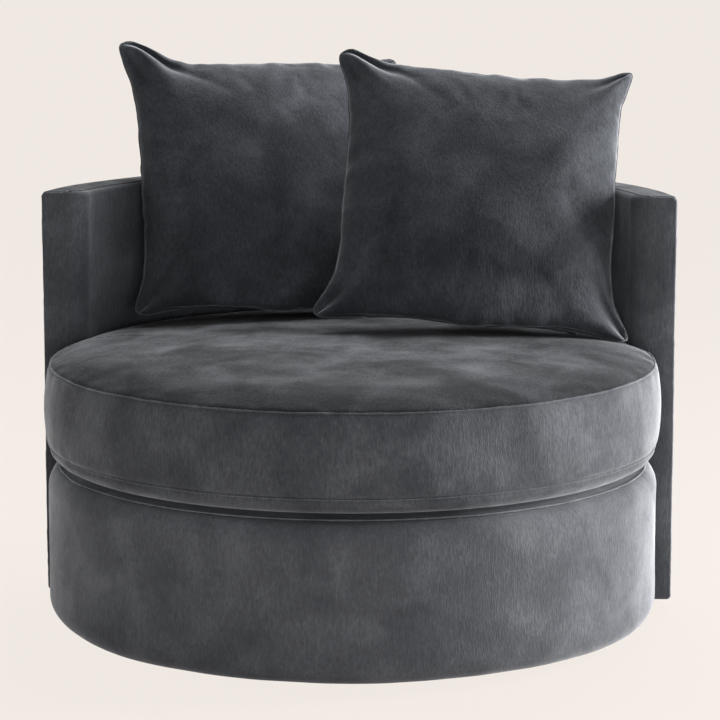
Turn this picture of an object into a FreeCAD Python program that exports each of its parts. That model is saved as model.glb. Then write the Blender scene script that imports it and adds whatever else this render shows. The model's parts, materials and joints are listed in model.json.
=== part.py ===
"""Swivel cuddle chair: a round upholstered seat with a wrap-around back, on a hidden turntable.

Millimetres. Z is up from the floor, the chair turns about Z through the origin and faces -Y.
"""
import FreeCAD, Part
import math
import os
import re

import Sketcher

# Driving sizes: name, value in mm or degrees, meaning
SIZES = (
    ("layer_gap", 0.3, "clearance between curved layers and under loose cushions"),
    ("fabric", 2, "velvet with its backing"),
    ("board", 18, "plywood of frames and plinth"),
    ("floor_gap", 18, "floor to the underside of the turning body"),
    ("glide_height", 6, "height of a floor glide"),
    ("glide_radius", 15, "radius of a floor glide"),
    ("glide_circle", 270, "circle that the glides stand on"),
    ("glide_count", 6, "number of floor glides"),
    ("plinth_radius", 310, "plinth disc under the chair"),
    ("plate_outer", 158, "outside radius of the turntable plates"),
    ("plate_inner", 95, "inside radius of the turntable plates"),
    ("plate_thickness", 5, "thickness of a turntable plate"),
    ("plate_gap", 2, "daylight between the turntable plates"),
    ("race_radius", 135, "circle that the balls run on"),
    ("ball_radius", 4, "radius of a bearing ball"),
    ("ball_play", 0.15, "play of a ball in its race"),
    ("ball_count", 24, "number of bearing balls"),
    ("cage_width", 16, "radial width of the ball cage"),
    ("cage_thickness", 1.2, "thickness of the ball cage"),
    ("screw_circle", 112, "circle of the turntable screws"),
    ("screw_count", 6, "screws in each turntable plate"),
    ("screw_length", 20, "length of a turntable screw"),
    ("screw_radius", 2.5, "shank radius of a turntable screw"),
    ("screw_head", 5, "head radius of a turntable screw"),
    ("screw_play", 0.1, "clearance round screws and bolts"),
    ("pivot_radius", 6, "shank radius of the pivot bolt"),
    ("pivot_head", 11, "head radius of the pivot bolt"),
    ("pivot_head_height", 7, "head height of the pivot bolt"),
    ("pivot_nut_height", 10, "height of the pivot nut"),
    ("pivot_bolt_end", 3, "bolt end that stands past its nut"),
    ("frame_inset", 45, "round base frame inside the upholstered drum"),
    ("base_skin", 4, "bent plywood skin of the base frame"),
    ("ring_width", 70, "radial width of the top and tacking rings"),
    ("post_spacing", 30, "degrees between upright posts"),
    ("post_depth", 40, "radial depth of a base post"),
    ("post_width", 45, "width of a post along the circle"),
    ("post_relief", 6, "space between a post and the curved skin"),
    ("wall_post_count", 5, "upright posts in the wall"),
    ("bolt_radius", 4, "shank radius of a frame bolt"),
    ("bolt_head", 9, "head radius of a frame bolt"),
    ("bolt_head_height", 5, "head height of a frame bolt"),
    ("bolt_edge", 45, "frame bolt centre from the end of a post"),
    ("nut_flange", 11, "flange radius of a tee nut"),
    ("nut_flange_height", 1.5, "flange thickness of a tee nut"),
    ("nut_barrel", 5.5, "barrel radius of a tee nut"),
    ("nut_length", 12, "length of a tee nut's barrel"),
    ("drum_radius", 545, "outside radius of the round base"),
    ("drum_height", 290, "height of the round base to its deck"),
    ("drum_bottom_round", 42, "soft round at the foot of the base"),
    ("drum_top_round", 50, "soft round at the top of the base"),
    ("deck_seam_inset", 20, "seam between base cover and deck cover, in from the drum"),
    ("turn_under", 90, "cover turned under the base"),
    ("dust_cloth", 1, "thickness of the dust cover"),
    ("deck_foam", 12, "foam over the webbing"),
    ("strap_width", 60, "width of a webbing strap"),
    ("strap_pitch", 100, "spacing of webbing straps"),
    ("strap_count", 7, "straps each way"),
    ("strap_thickness", 1.5, "thickness of a strap"),
    ("wall_set_in", 30, "inside of the wall, in from the drum"),
    ("wall_thickness", 75, "thickness of the upholstered wall"),
    ("wall_height", 745, "height of the wall above the underside"),
    ("wall_roll", 10, "round of the wall's inner top edge"),
    ("arm_front", 115, "distance of the arm fronts behind the axis"),
    ("back_foam", 20, "foam inside the wall"),
    ("wadding", 8, "wadding outside the wall"),
    ("liner", 3, "board liners of the wall"),
    ("top_pad", 10, "padding on top of the wall"),
    ("facing_pad", 6, "padding on an arm front"),
    ("front_board", 15, "board behind an arm front"),
    ("cuff_depth", 12, "wall fabric tucked below the deck"),
    ("cushion_foot_inset", 27, "edge of the cushion on the deck, in from the drum"),
    ("lower_seam_rise", 27, "lower seam above the cushion's underside"),
    ("foot_round", 40, "round under the lower seam"),
    ("band_height", 145, "height of the cushion's band"),
    ("band_bulge", 8, "swell of the band between its seams"),
    ("upper_seam_inset", 3, "upper seam of the cushion, in from its lower seam"),
    ("crown", 38, "crown of the cushion over its upper seam"),
    ("shoulder_inset", 112, "circle where the crown steepens, in from the upper seam"),
    ("shoulder_drop", 11, "fall of the crown to that circle"),
    ("shoulder_round", 312, "round from there to the upper seam"),
    ("ear_gap", 5, "cushion ears in front of the arm fronts"),
    ("rear_gap", 6, "cushion to wall behind the arm fronts"),
    ("fibre_wrap", 15, "fibre wrap round the cushion's foam"),
    ("zip_width", 8, "width of a zip chain"),
    ("zip_thickness", 1.2, "thickness of a zip chain"),
    ("zip_gap", 0.2, "zip chain to its seam and slider to chain"),
    ("zip_sweep", 55, "degrees of zip each side of the back"),
    ("slider_length", 14, "length of a zip slider"),
    ("slider_thickness", 3, "thickness of a zip slider"),
    ("pull_length", 22, "length of the seat zip's pull"),
    ("pillow_half_width", 275, "pillow centre to a side's corners"),
    ("pillow_half_height", 262, "pillow centre to its top corners"),
    ("pillow_half_thickness", 88, "pillow centre to its crown"),
    ("pillow_drawn_in", 27, "how far a side is drawn in at its middle"),
    ("pillow_zip_half", 190, "half length of a pillow's zip"),
    ("pillow_zip_drop", 1.3, "zip chain below the pillow's lower seam"),
    ("right_pillow_x", 219.4, "right pillow centre"),
    ("right_pillow_forward", 237.3, "right pillow's back to the wall's inner face behind the axis"),
    ("right_pillow_sink", 23.3, "right pillow's corners below the seat's crown"),
    ("right_pillow_yaw", 5.9, "right pillow turned about Z"),
    ("right_pillow_lean", 25.1, "right pillow leaning back"),
    ("right_pillow_roll", 4.9, "right pillow rolled in its own plane"),
    ("left_pillow_x", -180.2, "left pillow centre"),
    ("left_pillow_forward", 66.8, "left pillow's back to the wall's inner face behind the axis"),
    ("left_pillow_sink", 22.8, "left pillow's corners below the seat's crown"),
    ("left_pillow_yaw", 19.7, "left pillow turned about Z"),
    ("left_pillow_lean", 24.3, "left pillow leaning back"),
    ("left_pillow_roll", 2.3, "left pillow rolled in its own plane"),
)

# Radii of the whole chair that follow from the driving sizes: name, expression, meaning
TIED_SIZES = (
    ("base_frame", "drum_radius - frame_inset", "outside radius of the round base frame"),
    ("deck_seam_radius", "drum_radius - deck_seam_inset", "seam between base cover and deck cover"),
    ("wall_inner", "drum_radius - wall_set_in", "inside radius of the wall"),
    ("wall_outer", "wall_inner + wall_thickness", "outside radius of the wall"),
    ("cushion_foot", "drum_radius - cushion_foot_inset", "radius where the cushion leaves the deck"),
    ("lower_seam_radius", "drum_radius", "lower seam of the cushion"),
    ("upper_seam_radius", "lower_seam_radius - upper_seam_inset", "upper seam of the cushion"),
    ("shoulder_radius", "upper_seam_radius - shoulder_inset", "circle where the crown steepens"),
)

# Heights that follow from the driving sizes
PLINTH_TOP = "(glide_height + board)"
LOWER_PLATE_TOP = f"({PLINTH_TOP} + plate_thickness)"
UPPER_PLATE = f"({LOWER_PLATE_TOP} + plate_gap)"
FLOOR_BOARD = f"({UPPER_PLATE} + plate_thickness)"
FLOOR_BOARD_TOP = f"({FLOOR_BOARD} + board)"
BALL_HEIGHT = f"({LOWER_PLATE_TOP} + plate_gap / 2)"
FRAME_UNDER = "(floor_gap + fabric + layer_gap)"
DECK_TOP = "(floor_gap + drum_height)"
DECK_FOAM = f"({DECK_TOP} - fabric - layer_gap - deck_foam)"
RING_TOP = f"({DECK_FOAM} - 2 * strap_thickness)"
RING_UNDER = f"({RING_TOP} - board)"
WALL_TOP = "(floor_gap + wall_height)"
PAD_TOP = f"({WALL_TOP} - fabric - layer_gap)"
RAIL_TOP = f"({PAD_TOP} - top_pad - layer_gap)"
SEAT_UNDER = f"({DECK_TOP} + layer_gap)"
LOWER_SEAM = f"({SEAT_UNDER} + lower_seam_rise)"
UPPER_SEAM = f"({LOWER_SEAM} + band_height)"
SEAT_TOP = f"({UPPER_SEAM} + crown)"

# Radii that follow from the driving sizes
INSIDE_SKIN = "(base_frame - base_skin - layer_gap)"
RING_INNER = "(base_frame - ring_width)"
OUTSIDE_FRAME = "(base_frame + layer_gap)"
POST_OUTER = "(base_frame - base_skin - post_relief)"
FOAM_INNER = "(wall_inner + fabric + layer_gap)"
INNER_LINER = f"({FOAM_INNER} + back_foam + layer_gap)"
RAIL_INNER = f"({INNER_LINER} + liner + layer_gap)"
WADDING_OUTER = "(wall_outer - fabric - layer_gap)"
OUTER_LINER = f"({WADDING_OUTER} - wadding - layer_gap)"
RAIL_OUTER = f"({OUTER_LINER} - liner - layer_gap)"
WALL_POST_OUTER = f"({RAIL_OUTER} - post_relief / 2)"
CUSHION_REAR = "(wall_inner - rear_gap)"

# Distances behind the axis, from the arm fronts backwards
COVER_FRONT = "(arm_front + fabric + layer_gap)"
LINER_FRONT = f"({COVER_FRONT} + facing_pad + layer_gap)"
RAIL_FRONT = f"({LINER_FRONT} + front_board + layer_gap)"
CUSHION_EARS = "(arm_front - ear_gap)"

# Bearing of the first wall post, and degrees from the first to the last
WALL_START = "(90 - post_spacing * (wall_post_count - 1) / 2)"
WALL_SPAN = "(post_spacing * (wall_post_count - 1))"

# Size of the boxes that trim, past the whole chair
REACH = "(2 * wall_outer + 2 * wall_height)"

# Pillow outlines that the loft runs through, from the seam at 0 to the crown near 1
PILLOW_LEVELS = (0, 0.22, 0.45, 0.68, 0.86, 0.96, 0.995)
# Power of the level that gives an outline's distance from the seam
PILLOW_FULLNESS = 1.35
# Degrees from the middle of a side to its corner's arc, at the crown and what the seam adds
CORNER_START = (30, 13.4)
# Share of the way from side to corner that the arc starts at, at the crown and what the seam adds
CORNER_SHARE = (0.66, 0.2755)
# Share that the point of a corner is blunted by at the seam
CORNER_BLUNT = 0.02
# Share of the slider's width that its pull takes
PULL_SHARE = 0.5

DOCUMENT = FreeCAD.newDocument("CuddleChair")
SHEET = DOCUMENT.addObject("Spreadsheet::Sheet", "Sizes")
SUBPARTS = []


def fill_sheet():
    """Write each size in its own named cell, the tied ones as formulas."""
    tied = tuple((name, f"={text}", meaning) for name, text, meaning in TIED_SIZES)
    for row, (name, value, meaning) in enumerate(SIZES + tied, start=1):
        SHEET.set(f"A{row}", meaning)
        SHEET.set(f"B{row}", str(value))
        SHEET.setAlias(f"B{row}", name)
    DOCUMENT.recompute()


def bound(text):
    """Turn size names in an expression into references to the sheet."""
    names = {row[0] for row in SIZES + TIED_SIZES}
    return re.sub(r"[a-z]\w*", lambda word: f"Sizes.{word[0]}" if word[0] in names else word[0], str(text))


def number(text):
    """Value of an expression of size names."""
    return float(SHEET.evalExpression(bound(text)))


def bind(item, prop, text):
    """Tie a property to an expression of size names."""
    item.setExpression(prop, bound(text))


def keep(item, label):
    """Name a finished sub-part, which is written to a file of that name."""
    item.Label = label
    SUBPARTS.append(item)
    return item


def title(label):
    return label.title().replace("_", "")


def origin_item(body, role):
    return next(item for item in body.Origin.OriginFeatures if item.Role == role)


def new_sketch(body, plane, bottom=None):
    """Sketch on one of the body's own planes, raised to a height."""
    sketch = body.newObject("Sketcher::SketchObject", f"{body.Name}Outline")
    sketch.AttachmentSupport = [(origin_item(body, plane), "")]
    sketch.MapMode = "FlatFace"
    if bottom is not None:
        bind(sketch, "AttachmentOffset.Base.z", bottom)
    return sketch


def set_distance(sketch, kind, side, end, text):
    """Fix how far a point lies from the sketch's origin along one axis."""
    index = sketch.addConstraint(Sketcher.Constraint(kind, -1, 1, side, end, number(text)))
    bind(sketch, f"Constraints[{index}]", text)


def arc_between(start, finish, radius):
    """Arc from start to finish, anticlockwise when the radius is positive, under a half circle."""
    along = finish - start
    reach = math.sqrt(radius**2 - along.Length**2 / 4)
    left = FreeCAD.Vector(-along.y, along.x, 0).normalize()
    centre = (start + finish) / 2 + left * math.copysign(reach, radius)
    first, last = (start, finish) if radius > 0 else (finish, start)
    angles = [math.atan2(point.y - centre.y, point.x - centre.x) for point in (first, last)]
    circle = Part.Circle(centre, FreeCAD.Vector(0, 0, 1), abs(radius))
    return Part.ArcOfCircle(circle, angles[0], angles[1])


def draw_outline(sketch, corners, bends=None):
    """Closed outline through corners; bends gives the signed radius of each side that is an arc."""
    bends = bends or {}
    points = [FreeCAD.Vector(number(x), number(y), 0) for x, y in corners]
    ends = []
    for side, start in enumerate(points):
        finish = points[(side + 1) % len(points)]
        if side in bends:
            radius = number(bends[side])
            sketch.addGeometry(arc_between(start, finish, radius))
            ends.append((1, 2) if radius > 0 else (2, 1))
        else:
            sketch.addGeometry(Part.LineSegment(start, finish))
            ends.append((1, 2))
    for side, (start_end, finish_end) in enumerate(ends):
        following = (side + 1) % len(ends)
        joined = Sketcher.Constraint("Coincident", side, finish_end, following, ends[following][0])
        sketch.addConstraint(joined)
        set_distance(sketch, "DistanceX", side, start_end, corners[side][0])
        set_distance(sketch, "DistanceY", side, start_end, corners[side][1])
    for side, text in bends.items():
        index = sketch.addConstraint(Sketcher.Constraint("Radius", side, abs(number(text))))
        bind(sketch, f"Constraints[{index}]", f"abs({text})")


def add_pad(body, sketch, height):
    pad = body.newObject("PartDesign::Pad", f"{body.Name}Pad")
    pad.Profile = sketch
    bind(pad, "Length", height)
    return pad


def flat_board(label, corners, bends, bottom, height):
    """Board of one outline and one thickness."""
    body = DOCUMENT.addObject("PartDesign::Body", title(label))
    sketch = new_sketch(body, "XY_Plane", bottom)
    draw_outline(sketch, corners, bends)
    add_pad(body, sketch, height)
    return body


def new_body(label):
    return DOCUMENT.addObject("PartDesign::Body", title(label))


def add_turn(body, corners, bends=None, centre=None):
    """Solid turned about Z, or about an upright line at the radius centre."""
    sketch = new_sketch(body, "XZ_Plane")
    draw_outline(sketch, corners, bends)
    if centre is not None:
        low, high = (FreeCAD.Vector(number(centre), height, 0) for height in (0, 1))
        line = sketch.addGeometry(Part.LineSegment(low, high), True)
        sketch.addConstraint(Sketcher.Constraint("Vertical", line))
        set_distance(sketch, "DistanceX", line, 1, centre)
        set_distance(sketch, "DistanceY", line, 1, "0")
        set_distance(sketch, "DistanceY", line, 2, "1")
    turn = body.newObject("PartDesign::Revolution", f"{body.Name}Turn")
    turn.Profile = sketch
    turn.ReferenceAxis = (sketch, ["V_Axis" if centre is None else "Axis0"])
    turn.Angle = 360
    return turn


def turned(label, corners, bends=None):
    """Solid turned about Z from an outline of radius and height."""
    body = new_body(label)
    add_turn(body, corners, bends)
    return body


def ring(label, inner, outer, bottom, top):
    """Flat ring, or a disc when the inner radius is 0."""
    return turned(label, [(inner, bottom), (outer, bottom), (outer, top), (inner, top)])


def repeat_round(body, originals, count, angle="360"):
    """Repeat features about Z."""
    pattern = body.newObject("PartDesign::PolarPattern", f"{body.Name}Pattern")
    pattern.Originals = originals
    pattern.Axis = (origin_item(body, "Z_Axis"), [""])
    bind(pattern, "Angle", angle)
    bind(pattern, "Occurrences", count)
    body.Tip = pattern


def turned_on_circle(label, circle, corners, count, bends=None):
    """Upright turned pieces repeated on a circle; corners are measured from each piece's own centre."""
    body = new_body(label)
    placed = [(f"{circle} + {radius}", height) for radius, height in corners]
    turn = add_turn(body, placed, bends, circle)
    repeat_round(body, [turn], count)
    return body


def box(label, corner, size):
    """Box from its lowest corner and its size."""
    block = DOCUMENT.addObject("Part::Box", title(label))
    for prop, text in zip(("Length", "Width", "Height"), size):
        bind(block, prop, text)
    for axis, text in zip("xyz", corner):
        bind(block, f"Placement.Base.{axis}", text)
    return block


def cylinder(label, radius, bottom, height):
    post = DOCUMENT.addObject("Part::Cylinder", title(label))
    bind(post, "Radius", radius)
    bind(post, "Height", height)
    bind(post, "Placement.Base.z", bottom)
    return post


def combine(kind, label, base, tool):
    """Part::Cut, Part::Common or Part::Fuse of two objects."""
    result = DOCUMENT.addObject(f"Part::{kind}", title(label))
    result.Base = base
    result.Tool = tool
    return result


def behind(label, front):
    """Everything further back than a plane, as a tool."""
    return box(label, (f"-{REACH} / 2", front, f"-{REACH} / 2"), (REACH, REACH, REACH))


def ahead_of(label, back):
    """Everything in front of a plane, as a tool."""
    return box(label, (f"-{REACH} / 2", f"{back} - {REACH}", f"-{REACH} / 2"), (REACH, REACH, REACH))


# Turntable and plinth

def countersunk(label, face, upward, play="0"):
    """Screws sunk flush in a turntable plate, heads at the height face; play makes the hole's shape."""
    away = "+" if upward else "-"
    depth = f"({face} {away} (screw_length + {play}))"
    neck = f"({face} {away} (screw_head - screw_radius))"
    shank = f"(screw_radius + {play})"
    corners = [("0", face), (f"(screw_head + {play})", face), (shank, neck), (shank, depth), ("0", depth)]
    return turned_on_circle(label, "screw_circle", corners, "screw_count")


def race(label):
    """Round channel that the balls run in."""
    radius = "(ball_radius + ball_play)"
    corners = [(f"race_radius + {radius}", BALL_HEIGHT), ("race_radius", f"{BALL_HEIGHT} + {radius}"),
               (f"race_radius - {radius}", BALL_HEIGHT), ("race_radius", f"{BALL_HEIGHT} - {radius}")]
    return turned(label, corners, {side: radius for side in range(4)})


def balls(label, play="0"):
    radius = f"(ball_radius + {play})"
    corners = [("0", f"{BALL_HEIGHT} - {radius}"), (radius, BALL_HEIGHT), ("0", f"{BALL_HEIGHT} + {radius}")]
    return turned_on_circle(label, "race_radius", corners, "ball_count", {0: radius, 1: radius})


def pivot_bore(label, bottom, top, play):
    return cylinder(label, f"pivot_radius + {play}", bottom, f"{top} - {bottom}")


def make_plinth():
    """Glides, plinth disc and the half of the turntable that stays still."""
    foot = [("0", "0"), ("glide_radius", "0"), ("glide_radius", "glide_height"), ("0", "glide_height")]
    outer_glides = turned_on_circle("outer_glides", "glide_circle", foot, "glide_count")
    keep(combine("Fuse", "glides", outer_glides, turned("centre_glide", foot)), "floor_glides")

    disc = ring("plinth_blank", "0", "plinth_radius", "glide_height", PLINTH_TOP)
    head_space = cylinder("pivot_head_space", "pivot_head + screw_play", "glide_height",
                          "pivot_head_height + layer_gap")
    disc = combine("Cut", "plinth_with_head_space", disc, head_space)
    disc = combine("Cut", "plinth_bored", disc, pivot_bore("plinth_bore", "0", FLOOR_BOARD, "screw_play"))
    drill = countersunk("plinth_drill", LOWER_PLATE_TOP, False, "screw_play")
    keep(combine("Cut", "plinth", disc, drill), "plinth_disc")

    plate = ring("lower_plate_blank", "plate_inner", "plate_outer", PLINTH_TOP, LOWER_PLATE_TOP)
    plate = combine("Cut", "lower_plate_raced", plate, race("lower_race"))
    drill = countersunk("lower_plate_drill", LOWER_PLATE_TOP, False, "screw_play")
    keep(combine("Cut", "lower_plate", plate, drill), "turntable_lower_plate")
    keep(countersunk("lower_screws", LOWER_PLATE_TOP, False), "turntable_lower_screws")

    keep(balls("balls"), "turntable_balls")
    cage = ring("cage_blank", "race_radius - cage_width / 2", "race_radius + cage_width / 2",
                f"{BALL_HEIGHT} - cage_thickness / 2", f"{BALL_HEIGHT} + cage_thickness / 2")
    keep(combine("Cut", "cage", cage, balls("cage_pockets", "ball_play")), "turntable_ball_cage")

    seat = f"({FLOOR_BOARD_TOP} + layer_gap)"
    head_top = "(glide_height + pivot_head_height)"
    end = f"({seat} + pivot_nut_height + pivot_bolt_end)"
    bolt = [("0", "glide_height"), ("pivot_head", "glide_height"), ("pivot_head", head_top),
            ("pivot_radius", head_top), ("pivot_radius", end), ("0", end)]
    keep(turned("pivot_bolt_body", bolt), "pivot_bolt")
    nut = ring("pivot_nut_body", "pivot_radius + screw_play", "pivot_head",
               seat, f"{seat} + pivot_nut_height")
    keep(nut, "pivot_nut")


def make_upper_turntable():
    """The half of the turntable that turns with the chair."""
    plate = ring("upper_plate_blank", "plate_inner", "plate_outer", UPPER_PLATE, FLOOR_BOARD)
    plate = combine("Cut", "upper_plate_raced", plate, race("upper_race"))
    drill = countersunk("upper_plate_drill", UPPER_PLATE, True, "screw_play")
    keep(combine("Cut", "upper_plate", plate, drill), "turntable_upper_plate")
    keep(countersunk("upper_screws", UPPER_PLATE, True), "turntable_upper_screws")


# Round base

def radial_outline(inner, outer, width):
    """Rectangle across the X axis."""
    low, high = f"-{width} / 2", f"{width} / 2"
    return [(inner, low), (outer, low), (outer, high), (inner, high)]


def posts(label, inner, outer, bottom, top, count, angle, start):
    """Upright posts round the axis; start is the first one's bearing."""
    body = new_body(label)
    sketch = new_sketch(body, "XY_Plane", bottom)
    draw_outline(sketch, radial_outline(inner, outer, "post_width"))
    pad = add_pad(body, sketch, f"{top} - {bottom}")
    repeat_round(body, [pad], count, angle)
    bind(body, "Placement.Rotation.Angle", start)
    return body


def radial_turns(label, corners):
    """Level turned pieces that point away from the axis, two high at each wall post."""
    body = new_body(label)
    turns = []
    for height in (f"{FLOOR_BOARD_TOP} + bolt_edge", f"{RING_UNDER} - bolt_edge"):
        sketch = new_sketch(body, "XY_Plane", height)
        draw_outline(sketch, corners)
        turn = body.newObject("PartDesign::Revolution", f"{body.Name}Turn")
        turn.Profile = sketch
        turn.ReferenceAxis = (sketch, ["H_Axis"])
        turn.Angle = 360
        turns.append(turn)
    repeat_round(body, turns, "wall_post_count", WALL_SPAN)
    bind(body, "Placement.Rotation.Angle", WALL_START)
    return body


def bolt_holes(label):
    """Bores for the frame bolts, through the base post, the skin and the wall post."""
    bore = "(bolt_radius + screw_play)"
    start = "(base_frame - post_depth * 2)"
    return radial_turns(label, [(start, "0"), ("wall_outer", "0"), ("wall_outer", bore), (start, bore)])


def nut_holes(label):
    """Pockets for the tee nuts in the wall posts."""
    bore = "(nut_barrel + screw_play)"
    start = f"({WALL_POST_OUTER} - nut_length - layer_gap)"
    return radial_turns(label, [(start, "0"), ("wall_outer", "0"), ("wall_outer", bore), (start, bore)])


def make_base_frame():
    floor_board = ring("floor_board_blank", "0", INSIDE_SKIN, FLOOR_BOARD, FLOOR_BOARD_TOP)
    bore = pivot_bore("floor_board_bore", FLOOR_BOARD, FLOOR_BOARD_TOP, "layer_gap")
    floor_board = combine("Cut", "floor_board_bored", floor_board, bore)
    drill = countersunk("floor_board_drill", UPPER_PLATE, True, "screw_play")
    keep(combine("Cut", "floor_board", floor_board, drill), "base_floor_board")

    tacking = ring("tacking", "plinth_radius + floor_gap", INSIDE_SKIN, FRAME_UNDER, FLOOR_BOARD)
    keep(tacking, "base_tacking_ring")

    inner = f"{POST_OUTER} - post_depth"
    base_posts = posts("base_posts_blank", inner, POST_OUTER, FLOOR_BOARD_TOP, RING_UNDER,
                       "360 / post_spacing", "360", "0")
    keep(combine("Cut", "base_posts_bored", base_posts, bolt_holes("base_post_holes")), "base_posts")

    skin = ring("skin_blank", "base_frame - base_skin", "base_frame", FRAME_UNDER, RING_UNDER)
    keep(combine("Cut", "skin_bored", skin, bolt_holes("skin_holes")), "base_skin_board")
    keep(ring("top_ring", RING_INNER, "base_frame", RING_UNDER, RING_TOP), "base_top_ring")


def make_webbing(label, bottom, along):
    """Straps across the top ring, trimmed to its outside."""
    body = new_body(f"{label}_straps")
    edge = "(strap_pitch * (strap_count - 1) / 2)"
    low, high = f"-{edge} - strap_width / 2", f"-{edge} + strap_width / 2"
    corners = [("-wall_outer", low), ("wall_outer", low), ("wall_outer", high), ("-wall_outer", high)]
    if along == "Y":
        corners = [(y, x) for x, y in corners]
    sketch = new_sketch(body, "XY_Plane", bottom)
    draw_outline(sketch, corners)
    pad = add_pad(body, sketch, "strap_thickness")
    pattern = body.newObject("PartDesign::LinearPattern", f"{body.Name}Pattern")
    pattern.Originals = [pad]
    pattern.Direction = (origin_item(body, "X_Axis" if along == "Y" else "Y_Axis"), [""])
    bind(pattern, "Length", f"2 * {edge}")
    bind(pattern, "Occurrences", "strap_count")
    body.Tip = pattern
    trim = cylinder(f"{label}_trim", "base_frame - post_relief", bottom, "strap_thickness")
    keep(combine("Common", label, body, trim), label)


def seam_point(radius):
    """Place on the base's top round, of that radius, where the deck seam runs."""
    centre = "(drum_radius - drum_top_round)"
    share = f"((deck_seam_radius - {centre}) / drum_top_round)"
    height = f"({DECK_TOP} - drum_top_round + {radius} * sqrt(1 - {share}^2))"
    return (f"({centre} + {radius} * {share})", height)


def make_base_upholstery():
    """Foam, velvet and deck of the round base; the velvet's front stops at the arm fronts."""
    front = "(arm_front - layer_gap)"
    foot = "(drum_radius - drum_bottom_round)"
    core = "(drum_radius - drum_top_round)"
    foot_height = "(floor_gap + drum_bottom_round)"
    core_height = f"({DECK_TOP} - drum_top_round)"
    inside = "(fabric + layer_gap)"
    foam_round = f"(drum_top_round - {inside})"
    rise = f"({OUTSIDE_FRAME} - {core})"

    foam = [(OUTSIDE_FRAME, FRAME_UNDER), (foot, FRAME_UNDER), (f"drum_radius - {inside}", foot_height),
            (f"drum_radius - {inside}", core_height),
            (OUTSIDE_FRAME, f"{core_height} + sqrt({foam_round}^2 - {rise}^2)")]
    foam = turned("front_foam_ring", foam, {1: f"(drum_bottom_round - {inside})", 3: foam_round})
    keep(combine("Common", "front_foam", foam, ahead_of("front_foam_trim", front)), "base_front_foam")

    turned_in = "(drum_radius - turn_under)"
    cover = [(turned_in, "floor_gap"), (foot, "floor_gap"), ("drum_radius", foot_height),
             ("drum_radius", core_height), seam_point("drum_top_round"),
             seam_point("(drum_top_round - fabric)"), ("drum_radius - fabric", core_height),
             ("drum_radius - fabric", foot_height), (foot, "floor_gap + fabric"),
             (turned_in, "floor_gap + fabric")]
    bends = {1: "drum_bottom_round", 3: "drum_top_round", 5: "-(drum_top_round - fabric)",
             7: "-(drum_bottom_round - fabric)"}
    cover = turned("base_cover_ring", cover, bends)
    keep(combine("Common", "base_cover", cover, ahead_of("base_cover_trim", front)), "base_cover")

    deck = [("0", f"{DECK_TOP} - fabric"), (core, f"{DECK_TOP} - fabric"),
            seam_point("(drum_top_round - fabric)"), seam_point("drum_top_round"), (core, DECK_TOP),
            ("0", DECK_TOP)]
    deck = turned("deck_disc", deck, {1: "-(drum_top_round - fabric)", 3: "drum_top_round"})
    inside_wall = cylinder("deck_inside_wall", "wall_inner - layer_gap", "0", "wall_height")
    plan = combine("Fuse", "deck_plan", ahead_of("deck_front", front), inside_wall)
    keep(combine("Common", "deck_cover", deck, plan), "deck_cover")
    foam = ring("deck_foam_disc", "0", "base_frame", DECK_FOAM, f"{DECK_TOP} - fabric - layer_gap")
    keep(foam, "deck_foam")

    dust = ring("dust_disc", "plinth_radius + floor_gap", f"{turned_in} - layer_gap",
                f"{FRAME_UNDER} - dust_cloth", FRAME_UNDER)
    keep(dust, "dust_cover")


# Wall of back and arms

def band_outline(inner, outer, front):
    """Plan of a bent layer of the wall, between two radii and behind a plane."""
    def half(radius):
        return f"sqrt({radius}^2 - {front}^2)"
    far, near = half(outer), half(inner)
    return [(far, front), (f"-{far}", front), (f"-{near}", front), (near, front)], {0: outer, 2: f"-{inner}"}


def bent_layer(label, inner, outer, front, bottom, top):
    corners, bends = band_outline(inner, outer, front)
    return keep(flat_board(f"{label}_band", corners, bends, bottom, f"{top} - {bottom}"), label)


def wall_section(inset):
    """Section of the wall with its rolled inner top edge, drawn in by an inset."""
    inner, outer = f"(wall_inner + {inset})", f"(wall_outer - {inset})"
    bottom, top = f"(floor_gap + {inset})", f"({WALL_TOP} - {inset})"
    corners = [(inner, bottom), (outer, bottom), (outer, top), ("(wall_inner + wall_roll)", top),
               (inner, f"({WALL_TOP} - wall_roll)")]
    return corners, {3: f"(wall_roll - {inset})"}


def slab(label, section, front, back):
    """Slice of the wall's section between two planes, both arms together."""
    thick = box(f"{label}_slab", (f"-{REACH} / 2", front, "0"), (REACH, f"{back} - {front}", REACH))
    return combine("Common", f"{label}_both", section, thick)


def one_side(label, item, side):
    """Keep the part of an item on the left (-X) or the right."""
    corner = "0" if side == "right" else f"-{REACH}"
    half = box(f"{label}_half", (corner, f"-{REACH} / 2", "0"), (REACH, REACH, REACH))
    return keep(combine("Common", f"{label}_piece", item, half), label)


def make_arm_fronts():
    for side in ("left", "right"):
        facing = slab(f"{side}_facing", turned(f"{side}_facing_ring", *wall_section("0")),
                      "arm_front", "arm_front + fabric")
        one_side(f"{side}_arm_facing", facing, side)
        pad = turned(f"{side}_pad_ring", *wall_section("(fabric + layer_gap)"))
        pad = slab(f"{side}_pad", pad, COVER_FRONT, f"{COVER_FRONT} + facing_pad")
        one_side(f"{side}_arm_front_pad", pad, side)
        board = ring(f"{side}_board_ring", RAIL_INNER, RAIL_OUTER, FRAME_UNDER, RAIL_TOP)
        board = slab(f"{side}_board", board, LINER_FRONT, f"{LINER_FRONT} + front_board")
        one_side(f"{side}_arm_front_board", board, side)


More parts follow.
